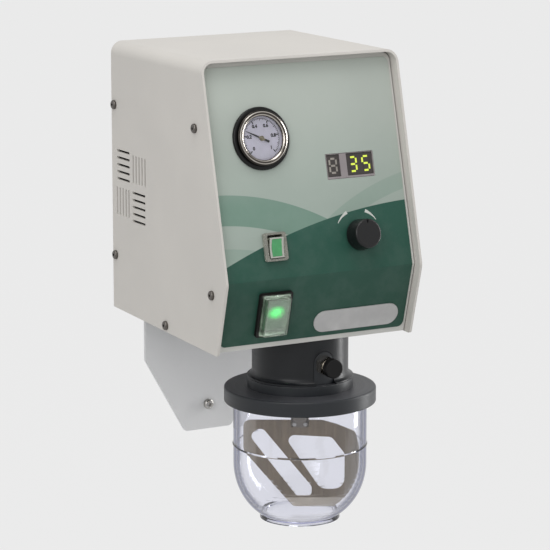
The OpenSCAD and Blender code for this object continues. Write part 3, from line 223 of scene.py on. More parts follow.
def powderCoat(name, colour, grain, sheen=0.52):
    # textured powder coat: fine orange peel, faint mottling and a few rubbed specks
    finish = Finish(name)
    cloud = finish.noise("cloud", paint["clouds"])
    peel = finish.noise("grain", grain)
    specks = finish.noise("speck", grain * paint["speckGrain"])
    base = finish.blend(cloud.ease(*span), shaded(colour, paint["dark"]),
                        shaded(colour, paint["light"]))
    base = finish.blend((specks > paint["speckFrom"]) * paint["speckShare"], base,
                        shaded(colour, paint["speckTone"]))
    return finish.close({
        "Base Color": base,
        "Roughness": cloud.scaled(*span, *(sheen + more for more in paint["duller"])),
        "Specular IOR Level": paint["level"],
        "Normal": finish.bump(peel, paint["peelDepth"], paint["peelStrength"]),
    })


metal = {
    "streakSpan": (0.3, 0.72), "clouds": 26, "cloudSpan": (0.35, 0.75), "cloudShare": 0.3,
    "cloudTone": 0.8, "duller": (-0.06, 0.08), "strength": 0.6,
}


def sheetMetal(name, colour, rough, stretch, grain, brushed=0.00001, spread=0.14):
    # brushed or rolled metal: streaks along the grain and slow clouds across it
    finish = Finish(name)
    streaks = finish.noise("streak", grain, stretch)
    cloud = finish.noise("cloud", metal["clouds"])
    base = finish.blend(streaks.ease(*metal["streakSpan"]), shaded(colour, 1 - spread),
                        shaded(colour, 1 + spread))
    base = finish.blend(cloud.ease(*metal["cloudSpan"]) * metal["cloudShare"], base,
                        shaded(colour, metal["cloudTone"]))
    return finish.close({
        "Base Color": base,
        "Metallic": 1.0,
        "Roughness": streaks.scaled(*span, *(rough + more for more in metal["duller"])),
        "Normal": finish.bump(streaks, brushed, metal["strength"]),
    })


plastic = {
    "clouds": 40, "cloudSpan": (0.3, 0.75), "dark": 0.9, "light": 1.12,
    "duller": (-0.04, 0.06), "strength": 0.5,
}


def moulded(name, colour, rough=0.4, grain=1500, relief=0.00002, level=0.45):
    # moulded plastic or rubber: fine spark texture with a slow change of gloss
    finish = Finish(name)
    spark = finish.noise("grain", grain)
    cloud = finish.noise("cloud", plastic["clouds"])
    return finish.close({
        "Base Color": finish.blend(cloud.ease(*plastic["cloudSpan"]),
                                   shaded(colour, plastic["dark"]),
                                   shaded(colour, plastic["light"])),
        "Roughness": cloud.scaled(*span, *(rough + more for more in plastic["duller"])),
        "Specular IOR Level": level,
        "Normal": finish.bump(spark, relief, plastic["strength"]),
    })


# Neck and lid are turned on one axis, which stands at this place in millimetres
turning = {
    "axis": (13.0, -139.5), "ringsPerMm": 2.2, "ringDepth": 0.000012, "ringStrength": 0.7,
    "ringSpan": (0.52, 0.8), "ringShare": 0.35, "ringTone": 1.5,
    "clouds": 34, "cloudSpan": (0.3, 0.75), "dark": 0.88, "light": 1.12,
    "duller": (-0.05, 0.07), "topSheenSpan": (0.8, 1.0), "dustAndSheenTone": tone(96, 96, 100),
}


def turned(name, colour, rough, level, dustAndSheen=0.0):
    # turning marks round the axis, seen on the side as fine lines and on flat faces as circles,
    # with a painted sheen on what faces up, lighter there for the light from above
    finish = Finish(name)
    x, y, z = finish.millimetres()
    dx, dy = x - turning["axis"][0], y - turning["axis"][1]
    reach = (dx * dx + dy * dy) ** 0.5
    marks = finish.noise("ring", turning["ringsPerMm"], where=finish.joined(reach, 0.0, z))
    cloud = finish.noise("cloud", turning["clouds"])
    base = finish.blend(cloud.ease(*turning["cloudSpan"]), shaded(colour, turning["dark"]),
                        shaded(colour, turning["light"]))
    base = finish.blend(marks.ease(*turning["ringSpan"]) * turning["ringShare"], base,
                        shaded(colour, turning["ringTone"]))
    # painted sheen: faces that look up are blended towards a lighter shade
    base = finish.blend(finish.slope().ease(*turning["topSheenSpan"]) * dustAndSheen, base,
                        turning["dustAndSheenTone"])
    return finish.close({
        "Base Color": base,
        "Roughness": marks.scaled(*span, *(rough + more for more in turning["duller"])),
        "Specular IOR Level": level,
        "Normal": finish.bump(marks, turning["ringDepth"], turning["ringStrength"]),
    })


glass = {
    "clouds": 30, "dark": 0.985, "dullSpan": (0.35, 0.75), "duller": 0.03,
    "edgeSpan": (0.53, 0.76), "uprightSpan": (0.75, 0.95),
}


def clear(name, colour, rough, ior, level=0.5, rim=None, inside=None, density=0.0):
    # clear plastic or glass. rim is a painted shade laid on upright walls where they are seen edge
    # on, for dark surroundings seen through them. inside and density give the tint that builds up
    # in thick places
    finish = Finish(name)
    cloud = finish.noise("cloud", glass["clouds"])
    shade = finish.blend(cloud.ease(*span), shaded(colour, glass["dark"]), colour)
    if rim:
        # painted shade: upright walls turn to the rim colour where they are seen edge on
        facing = finish.node("ShaderNodeLayerWeight", None, {"Blend": 0.5}, "Facing")
        upright = abs(finish.slope()).ease(*glass["uprightSpan"], 1.0, 0.0)
        shade = finish.blend(facing.ease(*glass["edgeSpan"]) * upright, shade, rim)
    made = finish.close({
        "Base Color": shade,
        "Roughness": cloud.scaled(*glass["dullSpan"], rough, rough + glass["duller"]),
        "IOR": ior,
        "Specular IOR Level": level,
        "Transmission Weight": 1.0,
    })
    if inside:
        body = finish.node("ShaderNodeVolumeAbsorption", None,
                           {"Color": inside, "Density": density})
        finish.tree.links.new(body.socket, finish.end.inputs["Volume"])
    return made


cloudy = {
    "clouds": 160, "dark": 0.95, "light": 1.04, "duller": (-0.05, 0.08), "ior": 1.35,
    "ribPitch": 1.1, "ribStrength": 0.8,
}


def frosted(name, colour, clearness, rough, ribs=0.0, level=0.5):
    # cloudy moulded plastic that lets some of what is behind it through. ribs is the height of
    # its upright ribs in metres
    finish = Finish(name)
    cloud = finish.noise("cloud", cloudy["clouds"])
    values = {
        "Base Color": finish.blend(cloud.ease(*span), shaded(colour, cloudy["dark"]),
                                   shaded(colour, cloudy["light"])),
        "Roughness": cloud.scaled(*span, *(rough + more for more in cloudy["duller"])),
        "IOR": cloudy["ior"],
        "Specular IOR Level": level,
        "Transmission Weight": clearness,
    }
    if ribs:
        x = finish.millimetres()[0]
        wave = (x * (math.tau / cloudy["ribPitch"])).calc("SINE")
        values["Normal"] = finish.bump(wave, ribs, cloudy["ribStrength"])
    return finish.close(values)


# Paddle: its axis in millimetres, its turn in degrees and where its flaps bend
paddle = {
    "axis": (13.0, -139.5), "turn": -29.7, "leftBend": -36.0, "rightBend": 37.0,
    "lowBend": -335.6, "bendSoft": 0.5, "leftSoft": 1.5,
    "streaks": 420, "stretch": (1, 1, 0.05), "streakSpan": (0.3, 0.72),
    "dark": tone(110, 97, 80), "light": tone(134, 120, 100),
    "clouds": 30, "cloudSpan": (0.35, 0.75), "cloudShare": 0.35, "cloudTone": tone(94, 86, 74),
    # painted light: lighter shades on the flaps, standing in for the light their bent faces catch
    "leftPaintedLight": tone(160, 150, 134), "leftShare": 0.8,
    "rightPaintedLight": tone(142, 134, 120), "rightSpan": (0.35, 0.65), "rightShare": (0.0, 0.9),
    "lowPaintedLight": tone(176, 168, 154), "lowSpan": (0.2, 0.8), "lowShare": (0.7, 1.0),
    "metallic": 0.9, "rough": (0.3, 0.44), "brushed": 0.00002, "strength": 0.6,
}


def paddleFinish(name):
    # brushed sheet: brown-grey face, with painted light on the bent flaps: a lighter left edge,
    # lighter streaks on the right flap and lighter clouds on the low flap
    finish = Finish(name)
    x, y, z = finish.millimetres()
    turn = math.radians(paddle["turn"])
    along = (x - paddle["axis"][0]) * math.cos(turn) + (y - paddle["axis"][1]) * math.sin(turn)
    streaks = finish.noise("streak", paddle["streaks"], paddle["stretch"])
    cloud = finish.noise("cloud", paddle["clouds"])
    base = finish.blend(streaks.ease(*paddle["streakSpan"]), paddle["dark"], paddle["light"])
    base = finish.blend(cloud.ease(*paddle["cloudSpan"]) * paddle["cloudShare"], base,
                        paddle["cloudTone"])
    # painted light: each flap is blended towards a lighter shade, the right one through the streaks
    # and the low one through the clouds
    leftEdge = along.below(paddle["leftBend"], paddle["leftSoft"])
    base = finish.blend(leftEdge * paddle["leftShare"], base, paddle["leftPaintedLight"])
    rightFlap = along.above(paddle["rightBend"], paddle["bendSoft"])
    rightFlapSheen = streaks.ease(*paddle["rightSpan"], *paddle["rightShare"])
    base = finish.blend(rightFlap * rightFlapSheen, base, paddle["rightPaintedLight"])
    lowFlap = z.below(paddle["lowBend"], paddle["bendSoft"])
    lowFlapSheen = cloud.ease(*paddle["lowSpan"], *paddle["lowShare"])
    base = finish.blend(lowFlap * lowFlapSheen, base, paddle["lowPaintedLight"])
    return finish.close({
        "Base Color": base,
        "Metallic": paddle["metallic"],
        "Roughness": streaks.scaled(*span, *paddle["rough"]),
        "Normal": finish.bump(streaks, paddle["brushed"], paddle["strength"]),
    })


# Gauge: place of its axis on the upper face, then the plain scale printed on the white disc.
# Each kind of mark has its length and half its width, in millimetres
dial = {
    "x": -40.0, "v": 62.8, "top": 1.7, "lift": 0.005, "ink": 0.06,
    "from": 225.0, "to": -45.0, "steps": 50, "radius": 15.9,
    "long": (2.6, 0.46), "middle": (1.8, 0.27), "short": (1.2, 0.15),
    "longEvery": 10, "middleEvery": 5, "line": 0.3, "linePieces": 90,
    "figures": ["0", "0.2", "0.4", "0.6", "0.8", "1"],
    "figureSize": 3.7, "figureRadius": 10.9, "bold": 0.2,
}
gaugeAxis = onFace("upper", dial["x"], dial["v"])

# Bezel: painted reflections, dark rings standing in for dark surroundings mirrored in the chrome,
# each between two radii in millimetres
bezel = {
    "dark": tone(168, 163, 156), "light": tone(188, 183, 176), "clouds": 90,
    "rings": [
        (16.0, 17.9, tone(66, 60, 56)),
        (18.6, 20.1, tone(76, 71, 66)),
        (20.8, 24.0, tone(52, 49, 46)),
    ],
    "soft": 0.15, "rough": (0.2, 0.26), "grain": 500, "relief": 0.0000008, "strength": 0.5,
}


def chromeWithPaintedReflections(name):
    # turned and polished ring, with painted reflections: dark rings laid over the chrome
    finish = Finish(name)
    reach = finish.reachFrom(gaugeAxis)
    cloud = finish.noise("cloud", bezel["clouds"])
    base = finish.blend(cloud.ease(*span), bezel["dark"], bezel["light"])
    # painted reflections: each ring darkens the chrome between two radii
    for inner, outer, shade in bezel["rings"]:
        base = finish.blend(reach.within(inner, outer, bezel["soft"]), base, shade)
    return finish.close({
        "Base Color": base,
        "Metallic": 1.0,
        "Roughness": cloud.scaled(*span, *bezel["rough"]),
        "Normal": finish.bump(finish.noise("grain", bezel["grain"]), bezel["relief"],
                              bezel["strength"]),
    })


needle = {
    "hub": 2.9, "soft": 0.15, "clouds": 700, "rough": (0.4, 0.5), "level": 0.3,
    "black": (tone(16, 15, 16), tone(28, 26, 28)),
    "brass": (tone(104, 98, 78), tone(132, 124, 98)),
}


def needleFinish(name):
    # black needle with a worn brass hub
    finish = Finish(name)
    cloud = finish.noise("cloud", needle["clouds"])
    core = finish.reachFrom(gaugeAxis).below(needle["hub"], needle["soft"])
    black = finish.blend(cloud.ease(*span), *needle["black"])
    brass = finish.blend(cloud.ease(*span), *needle["brass"])
    return finish.close({
        "Base Color": finish.blend(core, black, brass),
        "Roughness": cloud.scaled(*span, *needle["rough"]),
        "Specular IOR Level": needle["level"],
    })


# Printed foil. The dark field starts at a curved edge, given by its v in the middle, its slope
# and its crown. Arcs are rims of wide rings: centre across and down, outer and inner radius,
# all in millimetres, then the shade and how much of it
foil = {
    "half": 84, "paleTop": tone(182, 189, 181), "paleLow": tone(162, 174, 165), "pale": (20, 130),
    "dark": tone(44, 86, 73), "darkLow": tone(36, 74, 61), "darkSpan": (120, 215),
    "edge": (141.0, -20.0, -8.0), "edgeSoft": 0.2, "arcSoft": 0.25,
    "ring": tone(108, 140, 125), "ringLight": tone(142, 162, 150),
    "fadeSpan": (84, 120), "fade": (0.55, 1.0),
    "arcs": [
        ((-92, 318), (214, 190), "ring", 0.85),
        ((-92, 318), (172, 158), "ringLight", 0.75),
        ((128, 300), (206, 193), "ringLight", 0.7),
        ((128, 300), (184, 160), "ring", 0.6),
    ],
    "mottle": 60, "mottleSpan": (0.35, 0.7), "mottleShare": 0.02, "mottleTone": tone(225, 228, 224),
    "dustAndSheen": 2600, "dustFrom": 0.77, "dustShare": 0.12, "dustAndSheenTone": tone(205, 208, 204),
    "rough": (0.36, 0.46), "level": 0.25, "grain": 1800, "relief": 0.00001, "strength": 0.5,
}


def foilFinish(name):
    finish = Finish(name)
    x, y, z = finish.millimetres()
    top, lean = panelFaces["upper"]["top"], math.radians(panelFaces["upper"]["lean"])
    v = (y - top[0] * 1000) * -math.sin(lean) + (z - top[1] * 1000) * -math.cos(lean)
    side = x / foil["half"]
    middle, slope, crown = foil["edge"]
    edge = middle + side * slope + (1 - side * side) * crown
    colour = finish.blend(v.ease(*foil["pale"]), foil["paleTop"], foil["paleLow"])
    for (across, down), (outer, inner), shade, share in foil["arcs"]:
        dx, dv = x - across, v - down
        band = ((dx * dx + dv * dv) ** 0.5).within(inner, outer, foil["arcSoft"])
        fade = v.ease(*foil["fadeSpan"], *foil["fade"])
        colour = finish.blend(band * fade * share, colour, foil[shade])
    dark = finish.blend(v.ease(*foil["darkSpan"]), foil["dark"], foil["darkLow"])
    colour = finish.blend((v - edge).above(0, foil["edgeSoft"]), colour, dark)
    mottle = finish.noise("cloud", foil["mottle"])
    dustAndSheen = finish.noise("dustAndSheen", foil["dustAndSheen"])
    colour = finish.blend(mottle.ease(*foil["mottleSpan"]) * foil["mottleShare"], colour,
                          foil["mottleTone"])
    colour = finish.blend((dustAndSheen > foil["dustFrom"]) * foil["dustShare"], colour,
                          foil["dustAndSheenTone"])
    return finish.close({
        "Base Color": colour,
        "Roughness": mottle.scaled(*span, *foil["rough"]),
        "Specular IOR Level": foil["level"],
        "Normal": finish.bump(finish.noise("grain", foil["grain"]), foil["relief"],
                              foil["strength"]),
    })


# The light behind the main rocker: its place on the lower face and how far it stands off it
rockerLight = placed(onFace("lower", -39.9, 31.8), [(0.6, 2.0, 5.0)])[0]
glow = {
    "clouds": 180, "dark": 0.9, "light": 1.1, "duller": (-0.04, 0.05),
    "unlit": tone(4, 14, 8), "core": 0.5,
}


def glowing(name, colour, lit, strength, rough=0.3, spot=None, reach=0.0):
    # lit plastic: the light fades out at this reach from a spot, or fills the piece evenly
    finish = Finish(name)
    cloud = finish.noise("cloud", glow["clouds"])
    if spot is None:
        light = finish.blend(cloud.ease(*span), shaded(lit, glow["dark"]), lit)
    else:
        dx, dy, dz = (place - at * 1000 for place, at in zip(finish.millimetres(), spot))
        far = (dx * dx + dy * dy + dz * dz) ** 0.5
        light = finish.blend(far.ease(glow["core"], reach, 1.0, 0.0), glow["unlit"], lit)
    return finish.close({
        "Base Color": finish.blend(cloud.ease(*span), shaded(colour, glow["dark"]),
                                   shaded(colour, glow["light"])),
        "Roughness": cloud.scaled(*span, *(rough + more for more in glow["duller"])),
        "Emission Color": light,
        "Emission Strength": strength,
    })


board = {
    "cells": 260, "track": (0.04, 0.07), "share": 0.6, "mask": tone(20, 92, 56),
    "copper": tone(48, 138, 84), "rough": (0.3, 0.42), "relief": 0.00004, "strength": 0.6,
}


def boardFinish(name):
    # green board with copper tracks under the mask
    finish = Finish(name)
    cells = finish.node("ShaderNodeTexVoronoi",
                        {"distance": "CHEBYCHEV", "feature": "DISTANCE_TO_EDGE"},
                        {"Vector": finish.where, "Scale": board["cells"]})
    lines = cells.ease(*board["track"], 1.0, 0.0)
    return finish.close({
        "Base Color": finish.blend(lines * board["share"], board["mask"], board["copper"]),
        "Roughness": lines.scaled(0, 1, *board["rough"]),
        "Normal": finish.bump(lines, board["relief"], board["strength"]),
    })


# Each finish: what makes it, with what
recipes = {
    "coverPaint": (powderCoat, dict(colour=tone(208, 204, 198), grain=1300)),
    "panelPaint": (powderCoat, dict(colour=tone(204, 203, 198), grain=1500, sheen=0.46)),
    "platePaint": (powderCoat, dict(colour=tone(224, 224, 224), grain=1700, sheen=0.5)),
    "foil": (foilFinish, {}),
    "zincSheet": (sheetMetal, dict(
        colour=tone(176, 178, 180), rough=0.42, stretch=(1, 30, 1), grain=300)),
    "screwSteel": (sheetMetal, dict(
        colour=tone(150, 148, 144), rough=0.3, stretch=(1, 1, 8), grain=900)),
    "screwDark": (sheetMetal, dict(
        colour=tone(104, 100, 96), rough=0.32, stretch=(1, 1, 8), grain=900)),
    "neckTurned": (turned, dict(colour=tone(25, 27, 30), rough=0.34, level=0.3)),
    # the lid's top faces get a painted sheen
    "lidTurned": (turned, dict(colour=tone(24, 28, 33), rough=0.42, level=0.46, dustAndSheen=0.4)),
    "gearCase": (sheetMetal, dict(
        colour=tone(150, 152, 156), rough=0.5, stretch=(1, 1, 1), grain=400, brushed=0.00004)),
    "motorEnamel": (moulded, dict(colour=tone(36, 37, 40), rough=0.42, grain=1100)),
    "groundSteel": (sheetMetal, dict(
        colour=tone(178, 176, 172), rough=0.28, stretch=(1, 1, 14), grain=800)),
    "paddleSteel": (paddleFinish, {}),
    "shaftSteel": (sheetMetal, dict(
        colour=tone(112, 106, 98), rough=0.3, stretch=(1, 1, 14), grain=800)),
    "sealBlack": (moulded, dict(
        colour=tone(28, 28, 29), rough=0.6, grain=1400, relief=0.00003, level=0.3)),
    "sealClear": (moulded, dict(
        colour=tone(206, 206, 200), rough=0.5, grain=1200, relief=0.00002, level=0.4)),
    "bushAcetal": (moulded, dict(colour=tone(196, 178, 136), rough=0.45)),
    "nickel": (sheetMetal, dict(
        colour=tone(238, 232, 222), rough=0.14, stretch=(1, 1, 6), grain=500,
        brushed=0.000006, spread=0.06)),
    "buttonBlack": (moulded, dict(
        colour=tone(16, 15, 15), rough=0.45, grain=1300, relief=0.00003, level=0.18)),
    # the bowl's rim colour is a painted shade along its edges
    "bowlClear": (clear, dict(
        colour=(0.955, 0.96, 0.99, 1.0), rough=0.012, ior=1.49, level=0.12,
        rim=tone(26, 32, 70), inside=(0.42, 0.43, 0.72, 1.0), density=22.0)),
    "gaugeBlack": (moulded, dict(
        colour=tone(14, 14, 14), rough=0.26, grain=700, relief=0.000008, level=0.25)),
    "gaugeChrome": (chromeWithPaintedReflections, {}),
    "needleBlack": (needleFinish, {}),
    "brass": (sheetMetal, dict(
        colour=tone(190, 158, 92), rough=0.3, stretch=(1, 1, 12), grain=500)),
    "dialWhite": (moulded, dict(
        colour=tone(206, 203, 216), rough=0.4, grain=900, relief=0.000005, level=0.3)),
    "markBlack": (moulded, dict(
        colour=tone(24, 24, 28), rough=0.45, grain=900, relief=0.000004, level=0.3)),
    "gaugeGlass": (clear, dict(colour=(0.97, 0.975, 0.985, 1.0), rough=0.01, ior=1.3)),
    "displayGrey": (moulded, dict(
        colour=tone(150, 142, 143), rough=0.34, grain=900, relief=0.00001, level=0.5)),
    "digitDark": (moulded, dict(
        colour=tone(58, 52, 50), rough=0.32, grain=900, relief=0.000008, level=0.5)),
    "digitDeep": (moulded, dict(
        colour=tone(158, 152, 144), rough=0.4, grain=900, relief=0.000008, level=0.4)),
    "digitLit": (glowing, dict(
        colour=tone(110, 124, 40), lit=tone(226, 242, 84), strength=0.95)),
    "board": (boardFinish, {}),
    "partGrey": (moulded, dict(colour=tone(96, 98, 102), rough=0.45, grain=1100)),
    "knobBlack": (moulded, dict(
        colour=tone(19, 19, 20), rough=0.34, grain=900, relief=0.00001, level=0.34)),
    "switchBlack": (moulded, dict(
        colour=tone(24, 20, 20), rough=0.38, grain=1000, relief=0.00001, level=0.22)),
    "switchGrey": (moulded, dict(
        colour=tone(96, 94, 84), rough=0.38, grain=1000, relief=0.00001, level=0.4)),
    "frameClear": (frosted, dict(colour=tone(176, 176, 166), clearness=0.5, rough=0.24)),
    "rockerSilver": (sheetMetal, dict(
        colour=tone(186, 188, 180), rough=0.2, stretch=(1, 1, 4), grain=400,
        brushed=0.000004, spread=0.06)),
    "lensGreen": (glowing, dict(
        colour=tone(74, 150, 96), lit=tone(60, 150, 86), strength=0.12, rough=0.22)),
    "rockerGreen": (glowing, dict(
        colour=tone(58, 118, 82), lit=tone(70, 255, 120), strength=5.0, spot=rockerLight,
        reach=8.0)),
    "coverClear": (frosted, dict(
        colour=tone(196, 212, 196), clearness=0.92, rough=0.1, ribs=0.0003, level=0.6)),
    "badgeWhite": (moulded, dict(
        colour=tone(186, 185, 184), rough=0.34, grain=1000, relief=0.000008, level=0.4)),
    "printWhite": (moulded, dict(
        colour=tone(212, 214, 208), rough=0.45, grain=900, relief=0.000004, level=0.3)),
    "hoseClear": (clear, dict(colour=(0.88, 0.9, 0.88, 1.0), rough=0.25, ior=1.4)),
}
finishes = {name: make(name, **settings) for name, (make, settings) in recipes.items()}
print("finishes made:", len(finishes))

# The CAD nodes that each finish goes on
dressed = {
    "coverPaint": ["cover"],
    "panelPaint": ["front_panel"],
    "platePaint": ["wall_plate"],
    "foil": ["panel_foil"],
    "zincSheet": ["chassis"],
    "screwDark": ["cover_screws"],
    "screwSteel": ["plate_spacers", "plate_screws", "neck_screws", "gearbox_screws",
                   "motor_screws", "gauge_clamp", "board_standoffs", "encoder_nut"],
    "groundSteel": ["tongue_screw", "spindle", "spindle_bearing", "paddle_screws",
                    "valve_spring", "encoder_shaft"],
    "shaftSteel": ["paddle_shaft"],
    "paddleSteel": ["paddle"],
    "neckTurned": ["neck"],
    "lidTurned": ["lid"],
    "gearCase": ["gearbox"],
    "motorEnamel": ["drive_motor", "pump_head"],
    "partGrey": ["encoder_body", "pump_motor", "release_solenoid"],
    "sealBlack": ["lid_o_ring", "shaft_seal"],
    "sealClear": ["lid_seal"],
    "bushAcetal": ["shaft_bush", "encoder_plunger"],
    "nickel": ["valve_body"],
    "buttonBlack": ["valve_button"],
    "bowlClear": ["bowl"],
    "gaugeBlack": ["gauge_case"],
    "gaugeChrome": ["gauge_bezel"],
    "gaugeGlass": ["gauge_lens"],
    "dialWhite": ["gauge_dial"],
    "needleBlack": ["gauge_needle"],
    "brass": ["gauge_movement"],
    "displayGrey": ["display_frame"],
    "digitDark": ["digit_single", "digit_pair"],
    "board": ["control_board", "power_board"],
    "knobBlack": ["setting_knob"],
    "switchBlack": ["main_switch", "power_inlet"],
    "switchGrey": ["vacuum_switch"],
    "frameClear": ["vacuum_switch_frame"],
    "rockerSilver": ["vacuum_rocker"],
    "lensGreen": ["vacuum_lens"],
    "rockerGreen": ["main_rocker"],
    "coverClear": ["main_switch_cover"],
    "badgeWhite": ["name_plate"],
    "hoseClear": ["vacuum_hoses"],
}
plain = set(nodes)
for finish, names in dressed.items():
    for name in names:
        mesh = nodes[name].data
        if not mesh.materials:
            mesh.materials.append(None)
        for i in range(len(mesh.materials)):
            mesh.materials[i] = finishes[finish]
        plain.discard(name)
print("nodes dressed:", len(nodes) - len(plain), "left plain:", sorted(plain))


def makePiece(name, points, faces, finish):
    # a piece of the housing made here and not in the CAD
    mesh = bpy.data.meshes.new(name)
    mesh.from_pydata([tuple(p) for p in points], [], faces)
    mesh.materials.append(finishes[finish])
    mesh.update()
    piece = bpy.data.objects.new(name, mesh)
    bpy.context.scene.collection.objects.link(piece)
    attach(piece, "housing")


class Shapes:
    # gathers small flat prints into one mesh
    def __init__(self):
        self.points = []
        self.faces = []

    def slab(self, outline, low, high):
        # a thin closed prism over an outline in millimetres
        start, n = len(self.points), len(outline)
        self.points += [(x, y, low) for x, y in outline] + [(x, y, high) for x, y in outline]
        self.faces.append([start + i for i in reversed(range(n))])
        self.faces.append([start + n + i for i in range(n)])
        self.faces += [[start + i, start + (i + 1) % n, start + n + (i + 1) % n, start + n + i]
                       for i in range(n)]

    def figures(self, text, size, bold, at, low, high):
        # plain figures, centred at a place
        curve = bpy.data.curves.new("figures", "FONT")
        curve.body, curve.size, curve.offset = text, size, bold
        curve.align_x, curve.align_y = "CENTER", "CENTER"
        curve.resolution_u = 3
        curve.extrude = (high - low) / 2
        holder = bpy.data.objects.new("figures", curve)
        bpy.context.scene.collection.objects.link(holder)
        bpy.context.view_layer.update()
        shown = holder.evaluated_get(bpy.context.evaluated_depsgraph_get())
        mesh = bpy.data.meshes.new_from_object(shown)
        start = len(self.points)
        middle = (low + high) / 2
        self.points += [(v.co.x + at[0], v.co.y + at[1], v.co.z + middle)
                        for v in mesh.vertices]
        self.faces += [[start + i for i in face.vertices] for face in mesh.polygons]
        bpy.data.objects.remove(holder)
        bpy.data.meshes.remove(mesh)
        bpy.data.curves.remove(curve)


def dialAngle(step, steps):
    return dial["from"] + (dial["to"] - dial["from"]) * step / steps


def dialMarks():
    marks = Shapes()
    low, high = dial["top"] + dial["lift"], dial["top"] + dial["ink"]
    rim = dial["radius"]
    for i in range(dial["steps"] + 1):
        kind = "long" if i % dial["longEvery"] == 0 else \
            "middle" if i % dial["middleEvery"] == 0 else "short"
        length, half = dial[kind]
        ux, uy = around(1, dialAngle(i, dial["steps"]))
        corners = [(rim - length, -half), (rim, -half), (rim, half), (rim - length, half)]
        marks.slab([(a * ux - b * uy, a * uy + b * ux) for a, b in corners], low, high)
    for i, text in enumerate(dial["figures"]):
        at = around(dial["figureRadius"], dialAngle(i, len(dial["figures"]) - 1))
        marks.figures(text, dial["figureSize"], dial["bold"], at, low, high)
    angles = [dialAngle(i, dial["linePieces"]) for i in range(dial["linePieces"] + 1)]
    for start, end in zip(angles, angles[1:]):
        marks.slab([around(rim - dial["line"], start), around(rim - dial["line"], end),
                    around(rim, end), around(rim, start)], low, high)
    makePiece("dial_marks", placed(gaugeAxis, marks.points), marks.faces,
              "markBlack")


dialMarks()

# Seven-bar figures: the bars lie in the grooves of the dark modules. x and v are the upper left
# corner of the frame, half and row the places of the bars from the middle of a figure
display = {
    "x": 16.0, "v": 79.5, "width": 43.5, "border": 0.9, "single": 11.4, "pair": 23.6,
    "tall": 17.2, "bar": 0.76, "barGap": 0.35, "half": 3.0, "row": 5.6,
    "sideHalf": 1.95, "sideRow": 2.8, "low": -0.59, "high": -0.45,
    "barsOf": {"3": "abgcd", "5": "afgcd", "8": "abcdefg"},
}


def figureBars(shapes, text, centre):
    reach, row, sideRow = display["half"], display["row"], display["sideRow"]
    thick, side = display["bar"], display["sideHalf"]
    end = reach - thick - display["barGap"]
    level = (end, thick)
    upright = (thick, side)
    bars = {
        "a": (0, row, level), "g": (0, 0, level), "d": (0, -row, level),
        "b": (reach, sideRow, upright), "c": (reach, -sideRow, upright),
        "f": (-reach, sideRow, upright), "e": (-reach, -sideRow, upright),
    }
    for key in display["barsOf"][text]:
        x, y, (wide, tall) = bars[key]
        x += centre
        shapes.slab([(x - wide, y - tall), (x + wide, y - tall),
                     (x + wide, y + tall), (x - wide, y + tall)], display["low"], display["high"])


def displayFigures():
    singleX = display["x"] + display["border"] + display["single"] / 2
    pairX = display["x"] + display["width"] - display["border"] - display["pair"] / 2
    middle = display["v"] + display["border"] + display["tall"] / 2
    unlit, lit = Shapes(), Shapes()
    figureBars(unlit, "8", 0)
    figureBars(lit, "3", -display["pair"] / 4)
    figureBars(lit, "5", display["pair"] / 4)
    makePiece("digit_unlit", placed(onFace("upper", singleX, middle), unlit.points),
              unlit.faces, "digitDeep")
    makePiece("digits_lit", placed(onFace("upper", pairX, middle), lit.points),
              lit.faces, "digitLit")


displayFigures()

# White sweeps either side of the top of the setting knob, from near to far in degrees off it
knobPrint = {
    "x": 37.7, "v": 145.7, "radius": 20.6, "thick": 2.7, "thin": 0.5, "taper": 0.8,
    "near": 24.0, "far": 58.0, "steps": 22, "low": 0.505, "high": 0.54,
}


def knobSweeps():
    sweeps = Shapes()
    steps, radius = knobPrint["steps"], knobPrint["radius"]
    for side in (-1, 1):
        outer, inner = [], []
        for i in range(steps + 1):
            share = i / steps
            angle = 90 - side * (knobPrint["near"]
                                 + (knobPrint["far"] - knobPrint["near"]) * share)
            width = knobPrint["thick"] \
                + (knobPrint["thin"] - knobPrint["thick"]) * share ** knobPrint["taper"]
            outer.append(around(radius + width / 2, angle))
            inner.append(around(radius - width / 2, angle))
        for i in range(steps):
            strip = [inner[i], inner[i + 1], outer[i + 1], outer[i]]
            sweeps.slab(strip if side < 0 else strip[::-1], knobPrint["low"], knobPrint["high"])
    makePiece("knob_sweeps",
              placed(onFace("upper", knobPrint["x"], knobPrint["v"]), sweeps.points),
              sweeps.faces, "printWhite")


knobSweeps()
print("prints made")

# Floor and world: both look like pale paper, and the floor keeps a share of the shadow
stageLook = {
    "background": tone(237, 237, 237),
    "floorHeight": -0.95,
    "floorSize": 60.0,
    "floorPaper": tone(228, 228, 228),
    "shadowShare": 0.05,
    "skyTint": (0.98, 0.99, 1.0, 1.0),
    "skyLight": 0.49,
}


def seenDirectly(finish):
    # 1 for what the camera, gloss and glass see, 0 for the light that falls on the object
    path = finish.node("ShaderNodeLightPath", out=None)
    rays = [Wire(finish, path.outputs[key]) for key in
            ("Is Camera Ray", "Is Glossy Ray", "Is Transmission Ray")]
    return (rays[0] + rays[1] + rays[2]) > 0.5


def makeFloor():
    half = stageLook["floorSize"] / 2
    mesh = bpy.data.meshes.new("floor")
    corners = [(-half, -half, 0), (half, -half, 0), (half, half, 0), (-half, half, 0)]
    mesh.from_pydata(corners, [], [(0, 1, 2, 3)])
    floor = bpy.data.objects.new("floor", mesh)
    bpy.context.scene.collection.objects.link(floor)
    floor.location.z = stageLook["floorHeight"]
    finish = Finish("floorPaper")
    paper = finish.node("ShaderNodeEmission", None,
                        {"Color": stageLook["background"], "Strength": 1.0})
    matt = finish.node("ShaderNodeBsdfDiffuse", None, {"Color": stageLook["floorPaper"]})
    share = seenDirectly(finish) * (1 - stageLook["shadowShare"])
    mixed = finish.node("ShaderNodeMixShader", None, {0: share, 1: matt, 2: paper})
    finish.node("ShaderNodeOutputMaterial", None, {"Surface": mixed}, None)
    mesh.materials.append(finish.owner)


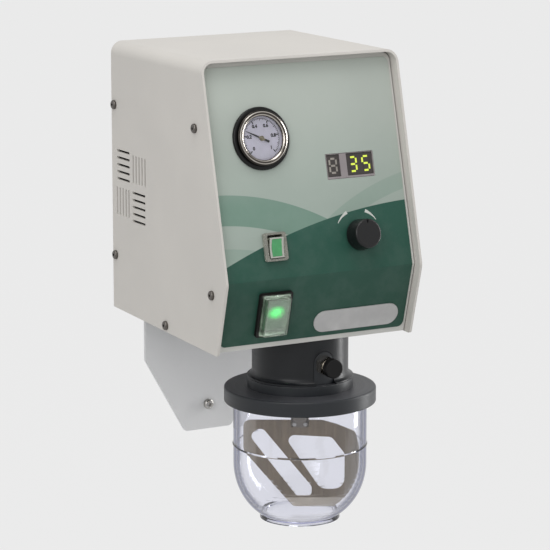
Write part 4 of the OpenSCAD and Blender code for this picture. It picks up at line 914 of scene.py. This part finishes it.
def makeWorld():
    world = bpy.data.worlds.new("studio")
    bpy.context.scene.world = world
    finish = Finish("studio", world)
    light = finish.node("ShaderNodeBackground", None,
                        {"Color": stageLook["skyTint"], "Strength": stageLook["skyLight"]})
    shown = finish.node("ShaderNodeBackground", None, {"Color": stageLook["background"]})
    mixed = finish.node("ShaderNodeMixShader", None, {0: seenDirectly(finish), 1: light, 2: shown})
    finish.node("ShaderNodeOutputWorld", None, {"Surface": mixed}, None)


# Soft lamps: place, what they point at and size in metres, power in watts
lamps = {
    "topBox": {"at": (-0.35, -0.6, 1.9), "to": (0.0, -0.1, -0.05), "size": (1.3, 1.1),
               "power": 17.5},
    "leftBox": {"at": (-1.4, -1.15, 0.7), "to": (-0.05, -0.1, -0.05), "size": (1.1, 1.1),
                "power": 11.5},
    "rightStrip": {"at": (1.8, -0.36, 0.0), "to": (0.01, -0.14, -0.18), "size": (0.22, 1.5),
                   "power": 20.0},
}


def makeLamps():
    for name, lamp in lamps.items():
        data = bpy.data.lights.new(name, "AREA")
        data.shape = "RECTANGLE"
        data.size, data.size_y = lamp["size"]
        data.energy = lamp["power"]
        made = bpy.data.objects.new(name, data)
        bpy.context.scene.collection.objects.link(made)
        made.location = lamp["at"]
        way = Vector(lamp["to"]) - Vector(lamp["at"])
        made.rotation_euler = way.to_track_quat("-Z", "Y").to_euler()


# The photograph's camera, worked out from its edges: lens in millimetres on a sensor this wide
photoView = {
    "at": (-1.07298, -2.0472, 0.29342), "looks": (0.47702, 0.85634, -0.19783),
    "lens": 181.22, "sensor": 36, "far": 200,
}


def makeCamera():
    data = bpy.data.cameras.new("photoCamera")
    data.lens = photoView["lens"]
    data.sensor_width = photoView["sensor"]
    data.sensor_fit = "HORIZONTAL"
    data.clip_end = photoView["far"]
    camera = bpy.data.objects.new("photoCamera", data)
    bpy.context.scene.collection.objects.link(camera)
    camera.location = photoView["at"]
    camera.rotation_euler = Vector(photoView["looks"]).to_track_quat("-Z", "Y").to_euler()
    bpy.context.scene.camera = camera


makeFloor()
makeWorld()
makeLamps()
makeCamera()
bpy.context.scene.view_settings.view_transform = "Standard"
print("stage, lamps and camera placed")
